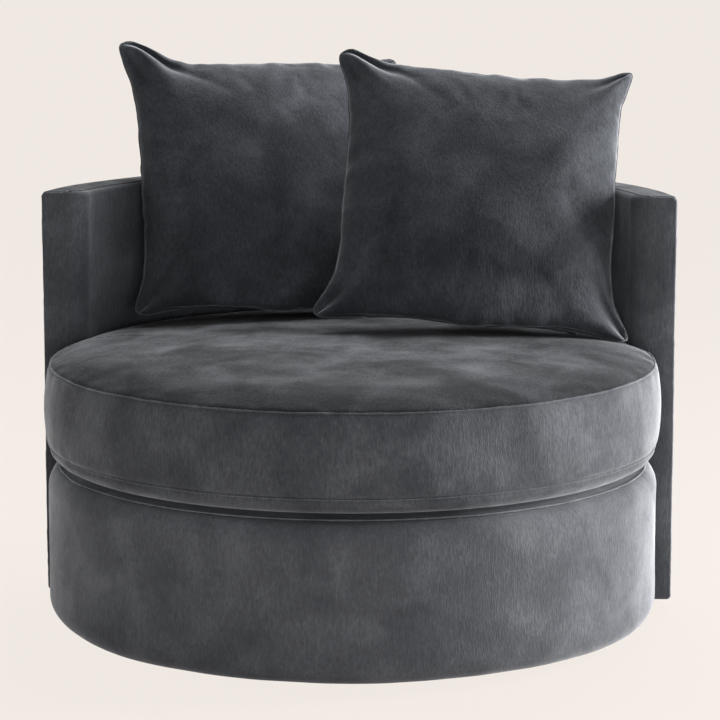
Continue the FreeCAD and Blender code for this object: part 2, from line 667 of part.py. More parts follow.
def make_wall_frame():
    bent_layer("wall_bottom_rail", OUTSIDE_FRAME, RAIL_OUTER, RAIL_FRONT, FLOOR_BOARD, FLOOR_BOARD_TOP)
    bent_layer("wall_middle_rail", OUTSIDE_FRAME, RAIL_OUTER, RAIL_FRONT, RING_UNDER, RING_TOP)
    bent_layer("wall_top_rail", RAIL_INNER, RAIL_OUTER, RAIL_FRONT, f"({RAIL_TOP} - board)", RAIL_TOP)

    lower = posts("wall_lower_posts_blank", f"({OUTSIDE_FRAME} + post_relief / 2)", WALL_POST_OUTER,
                  FLOOR_BOARD_TOP, RING_UNDER, "wall_post_count", WALL_SPAN, WALL_START)
    lower = combine("Cut", "wall_lower_posts_bored", lower, bolt_holes("wall_post_holes"))
    keep(combine("Cut", "wall_lower_posts_done", lower, nut_holes("wall_nut_pockets")), "wall_lower_posts")
    upper = posts("wall_upper_posts_done", f"({RAIL_INNER} + post_relief / 2)", WALL_POST_OUTER,
                  RING_TOP, f"({RAIL_TOP} - board)", "wall_post_count", WALL_SPAN, WALL_START)
    keep(upper, "wall_upper_posts")

    head = f"({POST_OUTER} - post_depth)"
    under = f"({head} - bolt_head_height)"
    bolt = [(under, "0"), (WALL_POST_OUTER, "0"), (WALL_POST_OUTER, "bolt_radius"), (head, "bolt_radius"),
            (head, "bolt_head"), (under, "bolt_head")]
    keep(radial_turns("frame_bolts_done", bolt), "frame_bolts")
    thread = "(bolt_radius + screw_play)"
    barrel = f"({WALL_POST_OUTER} - nut_length)"
    flange = f"({WALL_POST_OUTER} + nut_flange_height)"
    nut = [(barrel, thread), (flange, thread), (flange, "nut_flange"), (WALL_POST_OUTER, "nut_flange"),
           (WALL_POST_OUTER, "nut_barrel"), (barrel, "nut_barrel")]
    keep(radial_turns("frame_nuts_done", nut), "frame_tee_nuts")


def make_wall_layers():
    """Liners, foam, wadding and velvet of the wall."""
    liner_inner = f"({RAIL_INNER} - layer_gap)"
    liner_outer = f"({RAIL_OUTER} + layer_gap)"
    liner_bottom = f"({RING_TOP} + layer_gap)"
    bent_layer("wall_inner_liner", INNER_LINER, liner_inner, LINER_FRONT, liner_bottom, RAIL_TOP)
    bent_layer("wall_outer_liner", liner_outer, OUTER_LINER, LINER_FRONT, FRAME_UNDER, RAIL_TOP)
    bent_layer("wall_wadding", f"({WADDING_OUTER} - wadding)", WADDING_OUTER, LINER_FRONT,
               FRAME_UNDER, PAD_TOP)
    roll_end = "(wall_inner + wall_roll)"
    bent_layer("wall_top_pad", f"({roll_end} + layer_gap)", OUTER_LINER, LINER_FRONT,
               f"({RAIL_TOP} + layer_gap)", PAD_TOP)

    inset = "(fabric + layer_gap)"
    shoulder = f"({WALL_TOP} - wall_roll)"
    back = f"({INNER_LINER} - layer_gap)"
    foam = [(FOAM_INNER, liner_bottom), (back, liner_bottom), (back, f"({RAIL_TOP} + layer_gap)"),
            (roll_end, f"({RAIL_TOP} + layer_gap)"), (roll_end, PAD_TOP), (FOAM_INNER, shoulder)]
    foam = turned("back_foam_ring", foam, {4: f"(wall_roll - {inset})"})
    keep(combine("Common", "back_foam_cut", foam, behind("back_foam_trim", LINER_FRONT)), "wall_inner_foam")

    cuff = f"({DECK_TOP} - cuff_depth)"
    inner_face = "(wall_inner + fabric)"
    velvet = [("wall_inner", cuff), (inner_face, cuff), (inner_face, shoulder),
              (roll_end, f"({WALL_TOP} - fabric)"), (roll_end, WALL_TOP), ("wall_inner", shoulder)]
    velvet = turned("inside_velvet_ring", velvet, {2: "-(wall_roll - fabric)", 4: "wall_roll"})
    keep(combine("Common", "inside_velvet", velvet, behind("inside_velvet_trim", COVER_FRONT)),
         "inside_back_cover")
    bent_layer("outside_back_cover", "(wall_outer - fabric)", "wall_outer", COVER_FRONT, "floor_gap",
               f"({WALL_TOP} - fabric - layer_gap)")
    bent_layer("top_border_cover", f"({roll_end} + layer_gap)", "wall_outer", COVER_FRONT,
               f"({WALL_TOP} - fabric)", WALL_TOP)


# Seat cushion

def bulge_radius(height):
    return f"((({height}) / 2)^2 + band_bulge^2) / (2 * band_bulge)"


def cushion_form(label, inset):
    """Crowned round cushion drawn in by an inset, narrower where it sits between the arms."""
    foot, bottom = f"(cushion_foot - {inset})", f"({SEAT_UNDER} + {inset})"
    lower = (f"(lower_seam_radius - {inset})", f"({LOWER_SEAM} + {inset})")
    upper = (f"(upper_seam_radius - {inset})", f"({UPPER_SEAM} - {inset})")
    shoulder = ("shoulder_radius", f"({SEAT_TOP} - shoulder_drop - {inset})")
    corners = [("0", bottom), (foot, bottom), lower, upper, shoulder, ("0", f"({SEAT_TOP} - {inset})")]
    bends = {1: "foot_round", 2: f"({bulge_radius(f'band_height - 2 * {inset}')})", 3: "shoulder_round",
             4: "((shoulder_radius^2 + shoulder_drop^2) / (2 * shoulder_drop))"}
    form = turned(f"{label}_turned", corners, bends)
    rear = cylinder(f"{label}_rear", f"{CUSHION_REAR} - {inset}", "0", "wall_height")
    front = ahead_of(f"{label}_front", f"({CUSHION_EARS} - {inset})")
    plan = combine("Fuse", f"{label}_plan", front, rear)
    return combine("Common", label, form, plan)


def arc_strip(label, inner, outer, start, end, bottom, height):
    """Curved strip at the rear; start and end are bearings from +Y towards -X, under 90 degrees."""
    def place(radius, bearing):
        return (f"(-({radius}) * sin({bearing}))", f"(({radius}) * cos({bearing}))")
    corners = [place(outer, start), place(outer, end), place(inner, end), place(inner, start)]
    return flat_board(label, corners, {0: outer, 2: f"-({inner})"}, bottom, height)


def make_seat_cushion():
    heights = (("seat_bottom_panel", "0", LOWER_SEAM), ("seat_band", LOWER_SEAM, UPPER_SEAM),
               ("seat_top_panel", UPPER_SEAM, WALL_TOP))
    for label, low, high in heights:
        shell = combine("Cut", f"{label}_shell", cushion_form(f"{label}_outside", "0"),
                        cushion_form(f"{label}_inside", "fabric"))
        layer = box(f"{label}_layer", (f"-{REACH} / 2", f"-{REACH} / 2", low),
                    (REACH, REACH, f"{high} - {low}"))
        keep(combine("Common", f"{label}_cut", shell, layer), label)
    core_inset = "(fabric + 2 * layer_gap + fibre_wrap)"
    wrap = combine("Cut", "fibre_wrap_shell", cushion_form("wrap_outside", "(fabric + layer_gap)"),
                   cushion_form("wrap_inside", f"({core_inset} - layer_gap)"))
    keep(wrap, "seat_fibre_wrap")
    keep(cushion_form("seat_core", core_inset), "seat_foam_core")

    middle = f"({LOWER_SEAM} + band_height / 2)"
    chain_inner = f"({CUSHION_REAR} + zip_gap)"
    chain_outer = f"({chain_inner} + zip_thickness)"
    low = f"({middle} - zip_width / 2)"
    keep(arc_strip("seat_chain", chain_inner, chain_outer, "-zip_sweep", "zip_sweep", low, "zip_width"),
         "seat_zip_chain")
    slider_inner = f"({chain_outer} + zip_gap)"
    slider_outer = f"({slider_inner} + slider_thickness - zip_thickness)"
    end = f"(zip_sweep - slider_length / {CUSHION_REAR} * 180 / pi)"
    margin = f"((zip_sweep - {end}) * {(1 - PULL_SHARE) / 2})"
    body = arc_strip("seat_slider_body", slider_inner, slider_outer, end, "zip_sweep",
                     f"({middle} - slider_length / 2)", "slider_length")
    pull = arc_strip("seat_slider_pull", slider_inner, f"({slider_inner} + zip_thickness)",
                     f"({end} + {margin})", f"(zip_sweep - {margin})",
                     f"({middle} - slider_length / 2 - pull_length)", "pull_length + slider_length / 2")
    keep(combine("Fuse", "seat_slider", body, pull), "seat_zip_slider")


# Scatter pillows

def pillow_arcs(level, side, inset):
    """Sides and corners of a pillow's outline in turn, level 0 at its seam and 1 at its crown."""
    width = number("pillow_half_width") - inset
    height = number("pillow_half_height") - inset
    drawn = number("pillow_drawn_in") / number("pillow_half_width")
    middle = math.sqrt(1 - level**2) * (1 - drawn * (1 - level**2))
    ease = (1 - level) ** 3
    corner = math.sqrt(2 * (1 - level)) * (1 - CORNER_BLUNT * ease)
    turn = CORNER_START[0] + CORNER_START[1] * ease
    shoulder = middle + (CORNER_SHARE[0] + CORNER_SHARE[1] * ease) * (corner - middle)
    depth = side * (number("pillow_half_thickness") - inset) * level**PILLOW_FULLNESS

    def point(reach, bearing):
        angle = math.radians(bearing)
        return FreeCAD.Vector(reach * width * math.cos(angle), depth, reach * height * math.sin(angle))

    arcs = []
    for quarter in range(0, 360, 90):
        start, finish = point(shoulder, quarter - turn), point(shoulder, quarter + turn)
        following = point(shoulder, quarter + 90 - turn)
        arcs.append(Part.Arc(start, point(middle, quarter), finish))
        arcs.append(Part.Arc(finish, point(corner, quarter + 45), following))
    return arcs


def pillow_half(side, inset):
    """Front (side -1) or back (side 1) half of a pillow, from its seam to its crown."""
    outlines = [Part.Wire([arc.toShape() for arc in pillow_arcs(level, side, inset)])
                for level in PILLOW_LEVELS]
    return Part.makeLoft(outlines, True)


def pillow_placement(name):
    """Where a pillow stands: rolled in its plane, leaned back and turned."""
    moves = (((0, 0, 1), f"{name}_pillow_yaw"), ((1, 0, 0), f"-{name}_pillow_lean"),
             ((0, 1, 0), f"{name}_pillow_roll"))
    spins = [FreeCAD.Rotation(FreeCAD.Vector(*axis), number(angle)) for axis, angle in moves]
    centre = FreeCAD.Vector(number(f"{name}_pillow_x"),
                            number(f"wall_inner - pillow_half_thickness - {name}_pillow_forward"),
                            number(f"{SEAT_TOP} + pillow_half_height - {name}_pillow_sink"))
    return FreeCAD.Placement(centre, spins[0] * spins[1] * spins[2])


def placed_shape(label, shape, placement):
    item = DOCUMENT.addObject("Part::Feature", title(label))
    item.Shape = shape
    item.Placement = placement
    return keep(item, label)


def zip_strip(drop, thickness, width, start, end):
    """Strip along the drawn-in lower side of a pillow, starting that far below its seam."""
    lower_side = pillow_arcs(0, 1, 0)[-2].toShape().Curve
    centre = lower_side.Center - FreeCAD.Vector(0, width / 2, 0)
    outer = lower_side.Radius - drop
    across = FreeCAD.Vector(0, 1, 0)
    tube = Part.makeCylinder(outer, width, centre, across)
    tube = tube.cut(Part.makeCylinder(outer - thickness, width, centre, across))
    height = number("pillow_half_height")
    corner = FreeCAD.Vector(start, -width, -2 * height)
    return tube.common(Part.makeBox(end - start, width * 2, 2 * height, corner))


def make_pillow(name):
    placement = pillow_placement(name)
    fabric, gap = number("fabric"), number("layer_gap")
    front, back = pillow_half(-1, 0), pillow_half(1, 0)
    placed_shape(f"{name}_pillow_front_panel", front.cut(pillow_half(-1, fabric)), placement)
    placed_shape(f"{name}_pillow_back_panel", back.cut(pillow_half(1, fabric)), placement)
    filling = pillow_half(-1, fabric + gap).fuse(pillow_half(1, fabric + gap)).removeSplitter()
    placed_shape(f"{name}_pillow_filling", filling, placement)

    thin, wide, reach = number("zip_thickness"), number("zip_width"), number("pillow_zip_half")
    length, drop = number("slider_length"), number("pillow_zip_drop")
    chain = zip_strip(drop, thin, wide / 2, -reach, reach)
    placed_shape(f"{name}_pillow_zip_chain", chain, placement)
    drop += thin + number("zip_gap")
    slider = zip_strip(drop, number("slider_thickness") - thin, wide, reach - length, reach)
    placed_shape(f"{name}_pillow_zip_slider", slider, placement)


def write_parts():
    """Stop at any object that failed, then write each sub-part."""
    DOCUMENT.recompute()
    for item in DOCUMENT.Objects:
        if {"Invalid", "Error"} & set(item.State):
            raise RuntimeError(f"{item.Label} did not build: {item.State}")
    for item in SUBPARTS:
        if item.Shape.isNull() or not item.Shape.isValid() or not item.Shape.Solids:
            raise RuntimeError(f"{item.Label} has no sound shape")
    os.makedirs("parts", exist_ok=True)
    for item in SUBPARTS:
        item.Shape.exportStep(os.path.join("parts", f"{item.Label}.step"))
        print(item.Label, len(item.Shape.Solids), "solids,", round(item.Shape.Volume / 1000, 1), "cm3")


fill_sheet()
make_plinth()
make_upper_turntable()
make_base_frame()
make_webbing("webbing_across", RING_TOP, "X")
make_webbing("webbing_along", f"({RING_TOP} + strap_thickness)", "Y")
make_base_upholstery()
make_arm_fronts()
make_wall_frame()
make_wall_layers()
make_seat_cushion()
make_pillow("left")
make_pillow("right")
write_parts()
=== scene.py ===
"""Looks of a round swivel chair in slate velvet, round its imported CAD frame. Metres, Z up, front at -Y."""
import json
import math

import bpy
import numpy as np
from bpy.props import FloatProperty, IntProperty, PointerProperty, StringProperty
from mathutils import Matrix, Vector


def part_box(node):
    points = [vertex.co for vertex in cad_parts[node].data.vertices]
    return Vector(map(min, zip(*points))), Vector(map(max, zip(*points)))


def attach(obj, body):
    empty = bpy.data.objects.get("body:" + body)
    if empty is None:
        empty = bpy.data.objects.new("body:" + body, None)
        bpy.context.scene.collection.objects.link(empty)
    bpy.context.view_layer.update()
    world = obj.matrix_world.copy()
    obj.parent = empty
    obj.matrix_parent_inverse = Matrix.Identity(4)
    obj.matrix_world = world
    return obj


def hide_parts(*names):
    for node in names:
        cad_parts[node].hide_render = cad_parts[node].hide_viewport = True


bl_info = {
    "name": "Swivel Chair Looks",
    "version": (1, 0, 0),
    "blender": (4, 5, 0),
    "location": "View3D > Sidebar > Chair",
    "description": "Velvet, seams, scatter pillows and studio for a round swivel chair",
    "category": "Object",
}

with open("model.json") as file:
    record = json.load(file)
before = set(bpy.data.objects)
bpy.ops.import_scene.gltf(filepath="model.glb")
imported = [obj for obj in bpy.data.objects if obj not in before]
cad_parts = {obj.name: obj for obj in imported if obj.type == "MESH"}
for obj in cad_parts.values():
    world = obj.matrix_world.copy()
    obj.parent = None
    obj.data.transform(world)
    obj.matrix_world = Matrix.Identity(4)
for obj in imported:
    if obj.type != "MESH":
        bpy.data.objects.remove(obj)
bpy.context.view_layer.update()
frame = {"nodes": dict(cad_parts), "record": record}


def radius_of(node):
    """Largest distance of a turned CAD node from the swivel axis."""
    low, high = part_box(node)
    return max(-low.x, high.x, -low.y, high.y)


LOWER_SEAM, UPPER_SEAM = [corner.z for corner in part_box("seat_band")]
SEAT_LOW, UNDERSIDE = [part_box(node)[0].z for node in ("seat_bottom_panel", "base_cover")]
SEAT_TOP, DECK, WALL_TOP = [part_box(node)[1].z for node in ("seat_top_panel", "deck_cover", "top_border_cover")]
WALL_INNER = 0.515
WALL_OUTER = radius_of("outside_back_cover")
ARM_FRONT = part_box("left_arm_facing")[0].y
DRUM_SIDE = radius_of("base_cover")
DECK_REAR = radius_of("deck_foam")
SMALL_RADIUS = 0.0006  # Where a turned form closes on its axis
ALL_ROUND = 2 * math.pi


# Plain geometry

def arc(start, end, radius, steps):
    """Points of an arc between two profile points; a positive radius bulges to the right of the way."""
    start, end = np.array(start, float), np.array(end, float)
    along = end - start
    length = np.hypot(*along)
    across = np.array([along[1], -along[0]]) / length
    sagitta = abs(radius) - math.sqrt(max(radius * radius - length * length / 4, 0))
    centre = (start + end) / 2 + across * -math.copysign(abs(radius) - sagitta, radius)
    first = math.atan2(*(start - centre)[::-1])
    turn = (math.atan2(*(end - centre)[::-1]) - first + math.pi) % (2 * math.pi) - math.pi
    angles = first + turn * np.linspace(0, 1, steps + 1)
    return centre + abs(radius) * np.stack([np.cos(angles), np.sin(angles)], 1)


def profile_rows(radius, height):
    """Profile points at radii and heights, either of which may be one value."""
    return np.stack(np.broadcast_arrays(radius, height), 1)


def around(radius, bearing, height):
    """Points at a radius and a bearing from the swivel axis, at a height."""
    radius, bearing, height = np.broadcast_arrays(radius, bearing, height)
    return np.stack([radius * np.cos(bearing), radius * np.sin(bearing), height], -1)


def lattice(ids, seed):
    """Repeatable value from 0 to 1 for each lattice point."""
    mixed = (ids[..., 0] * 374761393 + ids[..., 1] * 668265263 + ids[..., 2] * 2147483647
             + seed * 1274126177)
    mixed = (mixed ^ (mixed >> 13)) * 1274126177
    return ((mixed ^ (mixed >> 16)) & 0xFFFF) / 0xFFFF


def swell(points, size, seed):
    """Smooth unevenness from -1 to 1 with features of the given size, at each point."""
    scaled = np.asarray(points, float) / size
    cell = np.floor(scaled).astype(np.int64)
    part = scaled - cell
    part = part * part * part * (part * (part * 6 - 15) + 10)
    total = 0
    for corner in np.ndindex(2, 2, 2):
        weight = np.prod(np.where(np.array(corner) == 1, part, 1 - part), axis=-1)
        total = total + weight * lattice(cell + np.array(corner), seed)
    return total * 2 - 1


def uneven(points, *layers):
    """Sum of swells; each layer is its height, the size of its features and its seed."""
    return sum(height * swell(points, size, seed) for height, size, seed in layers)


def bell(distance, width):
    """1 at no distance, falling smoothly to nothing past the width."""
    return np.exp(-(np.asarray(distance) / width) ** 2)


def way_on(points, wrap):
    """Direction at each point from the one before to the one after; with wrap, the last joins the first."""
    return np.roll(points, -1, 0) - np.roll(points, 1, 0) if wrap else np.gradient(points, axis=0)


def grid_normals(points, wrap):
    """Unit normal at each point of a grid of points."""
    normal = np.cross(way_on(points, wrap), np.gradient(points, axis=1))
    return normal / np.maximum(np.linalg.norm(normal, axis=-1, keepdims=True), 1e-12)


def soften(points, moves, wrap=False):
    """Move each point of a grid along its normal."""
    return points + grid_normals(points, wrap) * np.asarray(moves)[..., None]


def grid_faces(rows, columns, wrap):
    """Four-sided faces of a grid; with wrap, the last row joins the first."""
    starts = [(r * columns, (r + 1) % rows * columns) for r in range(rows if wrap else rows - 1)]
    return [(here + c, next_row + c, next_row + c + 1, here + c + 1)
            for here, next_row in starts for c in range(columns - 1)]


def new_mesh(name, points, faces):
    mesh = bpy.data.meshes.new(name)
    mesh.from_pydata(np.asarray(points, float).reshape(-1, 3).tolist(), [], faces)
    return mesh


def new_object(name, data):
    item = bpy.data.objects.new(name, data)
    bpy.context.scene.collection.objects.link(item)
    return item


def make_piece(name, points, faces, material, body):
    """Smooth mesh object that rides on a body."""
    mesh = new_mesh(name, points, faces)
    mesh.polygons.foreach_set("use_smooth", [True] * len(mesh.polygons))
    mesh.update()
    mesh.materials.append(material)
    item = new_object(name, mesh)
    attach(item, body)
    return item


def grid_piece(name, points, material, body, wrap=False):
    """Piece with a face between every four neighbours of a grid."""
    return make_piece(name, points, grid_faces(*points.shape[:2], wrap), material, body)


def stands_for(piece, fill, *nodes):
    """Hide the CAD nodes that a piece is drawn for; the piece and its fill are not used."""
    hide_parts(*nodes)


def set_all(target, **settings):
    for name, value in settings.items():
        setattr(target, name, value)
    return target


def add_modifier(item, kind, **settings):
    """Add a modifier of a kind with its settings."""
    return set_all(item.modifiers.new(kind.title(), kind), **settings)


def tube_grid(path, radius, sides, closed):
    """Points round a path, a row for each point of it."""
    along = way_on(path, closed)
    along /= np.linalg.norm(along, axis=1, keepdims=True)
    side = np.cross(along, [0.0, 0.0, 1.0])
    # Where the path runs nearly upright, its cross product with Z is too short to trust
    weak = np.linalg.norm(side, axis=1) < 0.2
    side[weak] = np.cross(along[weak], [0.0, 1.0, 0.0])
    side /= np.linalg.norm(side, axis=1, keepdims=True)
    rise = np.cross(side, along)
    turn = np.linspace(0, ALL_ROUND, sides + 1)
    ring = side[:, None] * np.cos(turn)[None, :, None] + rise[:, None] * np.sin(turn)[None, :, None]
    return path[:, None] + ring * np.reshape(radius, (-1, 1, 1))


# Materials

def linear(text):
    """Linear RGBA of an sRGB hex colour."""
    values = [int(text[i:i + 2], 16) / 255 for i in (1, 3, 5)]
    return (*[v / 12.92 if v <= 0.04045 else ((v + 0.055) / 1.055) ** 2.4 for v in values], 1.0)


def add(tree, kind, inputs=None, **settings):
    """Add a node with its settings; each input is a value, or the socket that feeds it."""
    node = set_all(tree.nodes.new(kind), **settings)
    for key, value in (inputs or {}).items():
        if isinstance(value, bpy.types.NodeSocket):
            tree.links.new(value, node.inputs[key])
        else:
            node.inputs[key].default_value = value
    return node


def new_tree(name):
    """Material with an empty node tree; returns both."""
    material = bpy.data.materials.get(name) or bpy.data.materials.new(name)
    material.use_nodes = True
    material.node_tree.nodes.clear()
    return material, material.node_tree


def shade(colour, share):
    """Linear colour made darker or lighter."""
    return (*[min(value * share, 1) for value in colour[:3]], 1)


# Sizes of the velvet's marks in metres: patches where a hand has laid the pile over, blotches, strokes
# down the fall of the pile, and tufts, which are really 0.5 mm and drawn 1.8 mm so that they show
PATCH, BLOTCH, STROKE, TUFT = 0.11111, 0.0303, 0.004348, 0.0017857
STROKE_LENGTH = 4.0
# Sum of the marks where the pile lies neutral, how far from it the pile is fully laid, and the share
# of the strokes and tufts in the sum
NEUTRAL_NAP, NAP_RANGE, FINE_SHARE = 1.52, 0.34, 0.52


def brushed_velvet(name, dark, mid, light, edge, sheen, spread=0.95, painted_sheen_power=4.5):
    """Short cotton pile, hand-brushed in patches, with a painted sheen: the base colour turns toward a pale edge
    colour where the pile is seen side on.
    """
    material, tree = new_tree(name)
    place = add(tree, "ShaderNodeTexCoord").outputs["Object"]
    fall = add(tree, "ShaderNodeMapping", {"Vector": place, "Scale": (1.0, 1.0, 1 / STROKE_LENGTH)})
    fall = fall.outputs["Vector"]
    patches, blotches, strokes, tufts = [
        add(tree, "ShaderNodeTexNoise", {"Vector": vector, "Scale": 1 / size, "Detail": detail,
                                         "Roughness": roughness, "Distortion": distortion}).outputs["Fac"]
        for vector, size, detail, roughness, distortion in (
            (place, PATCH, 3.0, 0.45, 0.5), (place, BLOTCH, 3.0, 0.6, 0.4),
            (fall, STROKE, 2.0, 0.6, 0.0), (fall, TUFT, 2.0, 0.5, 0.0))]
    quiet = add(tree, "ShaderNodeMapRange", {"Value": blotches, "To Min": 0.35, "To Max": 0.65})
    coarse = add(tree, "ShaderNodeMath", {0: patches, 1: quiet.outputs["Result"]},
                 operation="ADD").outputs[0]
    fine = add(tree, "ShaderNodeMath", {0: strokes, 1: tufts}, operation="ADD").outputs[0]
    nap = add(tree, "ShaderNodeMath", {0: fine, 1: FINE_SHARE, 2: coarse}, operation="MULTIPLY_ADD")
    laid = add(tree, "ShaderNodeMapRange", {
        "Value": nap.outputs[0], "From Min": NEUTRAL_NAP - spread * NAP_RANGE,
        "From Max": NEUTRAL_NAP + spread * NAP_RANGE}).outputs["Result"]
    ramp = add(tree, "ShaderNodeValToRGB", {"Fac": laid})
    ramp.color_ramp.elements.new(0.5)
    for stop, tone in zip(ramp.color_ramp.elements, (dark, mid, light)):
        stop.color = linear(tone)
    # Painted sheen: the pale edge colour is mixed into the base colour where the surface is seen side on
    facing = add(tree, "ShaderNodeLayerWeight", {"Blend": 0.42})
    rim = add(tree, "ShaderNodeMath", {0: facing.outputs["Facing"], 1: painted_sheen_power}, operation="POWER")
    # Painted sheen, stronger where the pile is laid over, which catches more light side on than pile that stands
    # up
    painted_sheen_by_nap = add(tree, "ShaderNodeMapRange", {"Value": laid, "To Min": 0.2, "To Max": 1.7})
    shown = add(tree, "ShaderNodeMath", {0: rim.outputs[0], 1: painted_sheen_by_nap.outputs["Result"]},
                operation="MULTIPLY", use_clamp=True)
    colour = add(tree, "ShaderNodeMix", {"Factor": shown.outputs[0], 6: ramp.outputs["Color"],
                                         7: linear(edge)}, data_type="RGBA")
    relief = add(tree, "ShaderNodeMath", {0: coarse, 1: 0.8, 2: fine}, operation="MULTIPLY_ADD")
    bump = add(tree, "ShaderNodeBump", {"Height": relief.outputs[0], "Strength": 0.6, "Distance": 0.0012})
    surface = add(tree, "ShaderNodeBsdfPrincipled", {
        "Base Color": colour.outputs[2], "Normal": bump.outputs["Normal"], "Roughness": 0.82,
        "Specular IOR Level": 0.07, "Sheen Weight": sheen, "Sheen Roughness": 0.34,
        "Sheen Tint": linear(edge)})
    add(tree, "ShaderNodeOutputMaterial", {"Surface": surface.outputs["BSDF"]})
    return material


def patterned(material, pattern, stops, strength, depth, roughness, metallic=0.0):
    """Give a material a pattern's two colours, each with its position, and its relief; returns it."""
    tree = material.node_tree
    ramp = add(tree, "ShaderNodeValToRGB", {"Fac": pattern})
    for stop, (position, colour) in zip(ramp.color_ramp.elements, stops):
        stop.position, stop.color = position, colour
    bump = add(tree, "ShaderNodeBump", {"Height": pattern, "Strength": strength, "Distance": depth})
    surface = add(tree, "ShaderNodeBsdfPrincipled", {
        "Base Color": ramp.outputs["Color"], "Normal": bump.outputs["Normal"], "Roughness": roughness,
        "Metallic": metallic})
    add(tree, "ShaderNodeOutputMaterial", {"Surface": surface.outputs["BSDF"]})
    return material


def plain_finish(name, colour, roughness, grain, relief, contrast, metallic=0.0, stretch=(1, 1, 1)):
    """Hard finish whose colour and relief vary with a grain of a given size and depth in metres."""
    material, tree = new_tree(name)
    place = add(tree, "ShaderNodeTexCoord").outputs["Object"]
    drawn = add(tree, "ShaderNodeMapping", {"Vector": place, "Scale": stretch}).outputs["Vector"]
    pattern = add(tree, "ShaderNodeTexNoise", {"Vector": drawn, "Scale": 1 / grain, "Detail": 4.0,
                                               "Roughness": 0.6}).outputs["Fac"]
    base = linear(colour)
    stops = (0.32, shade(base, 1 - contrast)), (0.68, shade(base, 1 + contrast))
    return patterned(material, pattern, stops, 0.6, relief, roughness, metallic)


def woven_tape(name, colour, pitch):
    """Flat woven band of crossing threads, drawn four times as coarse as their pitch so that they show."""
    material, tree = new_tree(name)
    place = add(tree, "ShaderNodeTexCoord").outputs["Object"]
    threads = [add(tree, "ShaderNodeTexWave", {"Vector": place, "Scale": 1 / (4 * math.pi * pitch),
                                               "Distortion": 0.4}, bands_direction=axis).outputs["Fac"]
               for axis in ("X", "Y")]
    crossed = add(tree, "ShaderNodeMath", {0: threads[0], 1: threads[1]}, operation="MULTIPLY").outputs[0]
    base = linear(colour)
    return patterned(material, crossed, ((0.0, shade(base, 0.6)), (1.0, shade(base, 1.5))), 0.7, pitch / 4, 0.8)


# Round base and deck

DRUM_FOOT, DRUM_HEAD = 0.042, 0.050  # Radii of its lower and upper rounds
SEAM_INSET = 0.020  # The deck's seam lies this far in from the drum's side
SEAM_PULL, PULL_WIDTH = 0.0030, 0.0055  # How deep and wide the stitching draws the velvet in
FOOT_ROWS = 8
NO_LIMIT = 9.0


def front_turn(profile, steps, back):
    """Grid of a profile turned about Z over the part of the circle in front of a plane y = back."""
    radius, height = profile[:, 0], profile[:, 1]
    reach = np.arcsin(np.clip(back / radius, -1, 1))
    share = np.linspace(0, 1, steps)[:, None]
    bearing = (math.pi - reach) * (1 - share) + (2 * math.pi + reach) * share
    return around(radius, bearing, height)


def profile_length(profile):
    """Length of a profile up to each of its points."""
    return np.concatenate([[0], np.cumsum(np.linalg.norm(np.diff(profile, axis=0), axis=1))])


def drum_profile():
    """Foot, side and top round of the base up to the deck's seam, and the seam's place."""
    seam = DRUM_SIDE - SEAM_INSET
    rise = DECK - DRUM_HEAD + math.sqrt(DRUM_HEAD ** 2 - (DRUM_HEAD - SEAM_INSET) ** 2)
    low, high, flat_edge = UNDERSIDE + DRUM_FOOT, DECK - DRUM_HEAD, DRUM_SIDE - DRUM_FOOT
    parts = [profile_rows(np.linspace(DRUM_SIDE - 0.09, flat_edge, FOOT_ROWS), UNDERSIDE),
             arc((flat_edge, UNDERSIDE), (DRUM_SIDE, low), DRUM_FOOT, 16)[1:],
             profile_rows(DRUM_SIDE, np.linspace(low, high, 41)[1:]),
             arc((DRUM_SIDE, high), (seam, rise), DRUM_HEAD, 18)[1:]]
    return np.concatenate(parts), (seam, rise)


def build_drum(velvet, thread):
    """Foam-backed velvet round the base, pulled in at the deck's seam, and the velvet deck inside it."""
    profile, seam = drum_profile()
    front = ARM_FRONT - 0.0004
    points = front_turn(profile, 620, front)
    to_seam = profile_length(profile)[-1] - profile_length(profile)
    move = uneven(points, (0.0016, 0.19, 11), (0.0008, 0.07, 12))
    move = move * (1 - bell(to_seam, 0.012)) - SEAM_PULL * bell(to_seam, PULL_WIDTH)
    # Drag from the stitches, just below the seam
    move += bell(to_seam - 0.014, 0.016) * uneven(points, (0.0010, 0.034, 13))
    move[:, :FOOT_ROWS] = 0
    drum = grid_piece("drum_velvet", soften(points, move), velvet, "chair")
    add_modifier(drum, "SOLIDIFY", thickness=0.002, offset=-1)
    stands_for(drum, 0.95, "base_cover", "base_front_foam")

    edge = DRUM_SIDE - DRUM_HEAD
    flat = profile_rows(np.concatenate([[SMALL_RADIUS], np.linspace(0.04, edge, 30)]), DECK)
    profile = np.concatenate([flat, arc((edge, DECK), seam, DRUM_HEAD, 12)[1:]])
    bearing = np.linspace(0, ALL_ROUND, 600, endpoint=False)
    lean = np.sin(bearing)
    behind = np.maximum(front / np.maximum(lean, 0.01), DECK_REAR)
    radius = np.minimum(profile[None, :, 0], np.where(lean > 0, behind, NO_LIMIT)[:, None])
    points = around(radius, bearing[:, None], profile[:, 1])
    to_seam = profile_length(profile)[-1] - profile_length(profile)
    drop = 0.0026 * bell(to_seam, 0.005) - bell(to_seam - 0.014, 0.014) * uneven(points, (0.0007, 0.03, 14))
    points[..., 2] -= np.where(profile[:, 0] > edge, drop, 0)
    deck = grid_piece("deck_velvet", points, velvet, "chair", wrap=True)
    stands_for(deck, 0.9, "deck_cover", "deck_foam")

    reach = math.asin(front / seam[0])
    bearing = np.linspace(math.pi - reach, 2 * math.pi + reach, 900)
    line = around(seam[0], bearing, seam[1] + 0.0002)
    build_seam("deck_seam", line + uneven(line, (0.0005, 0.06, 15))[:, None], 0.0014, thread, "chair")


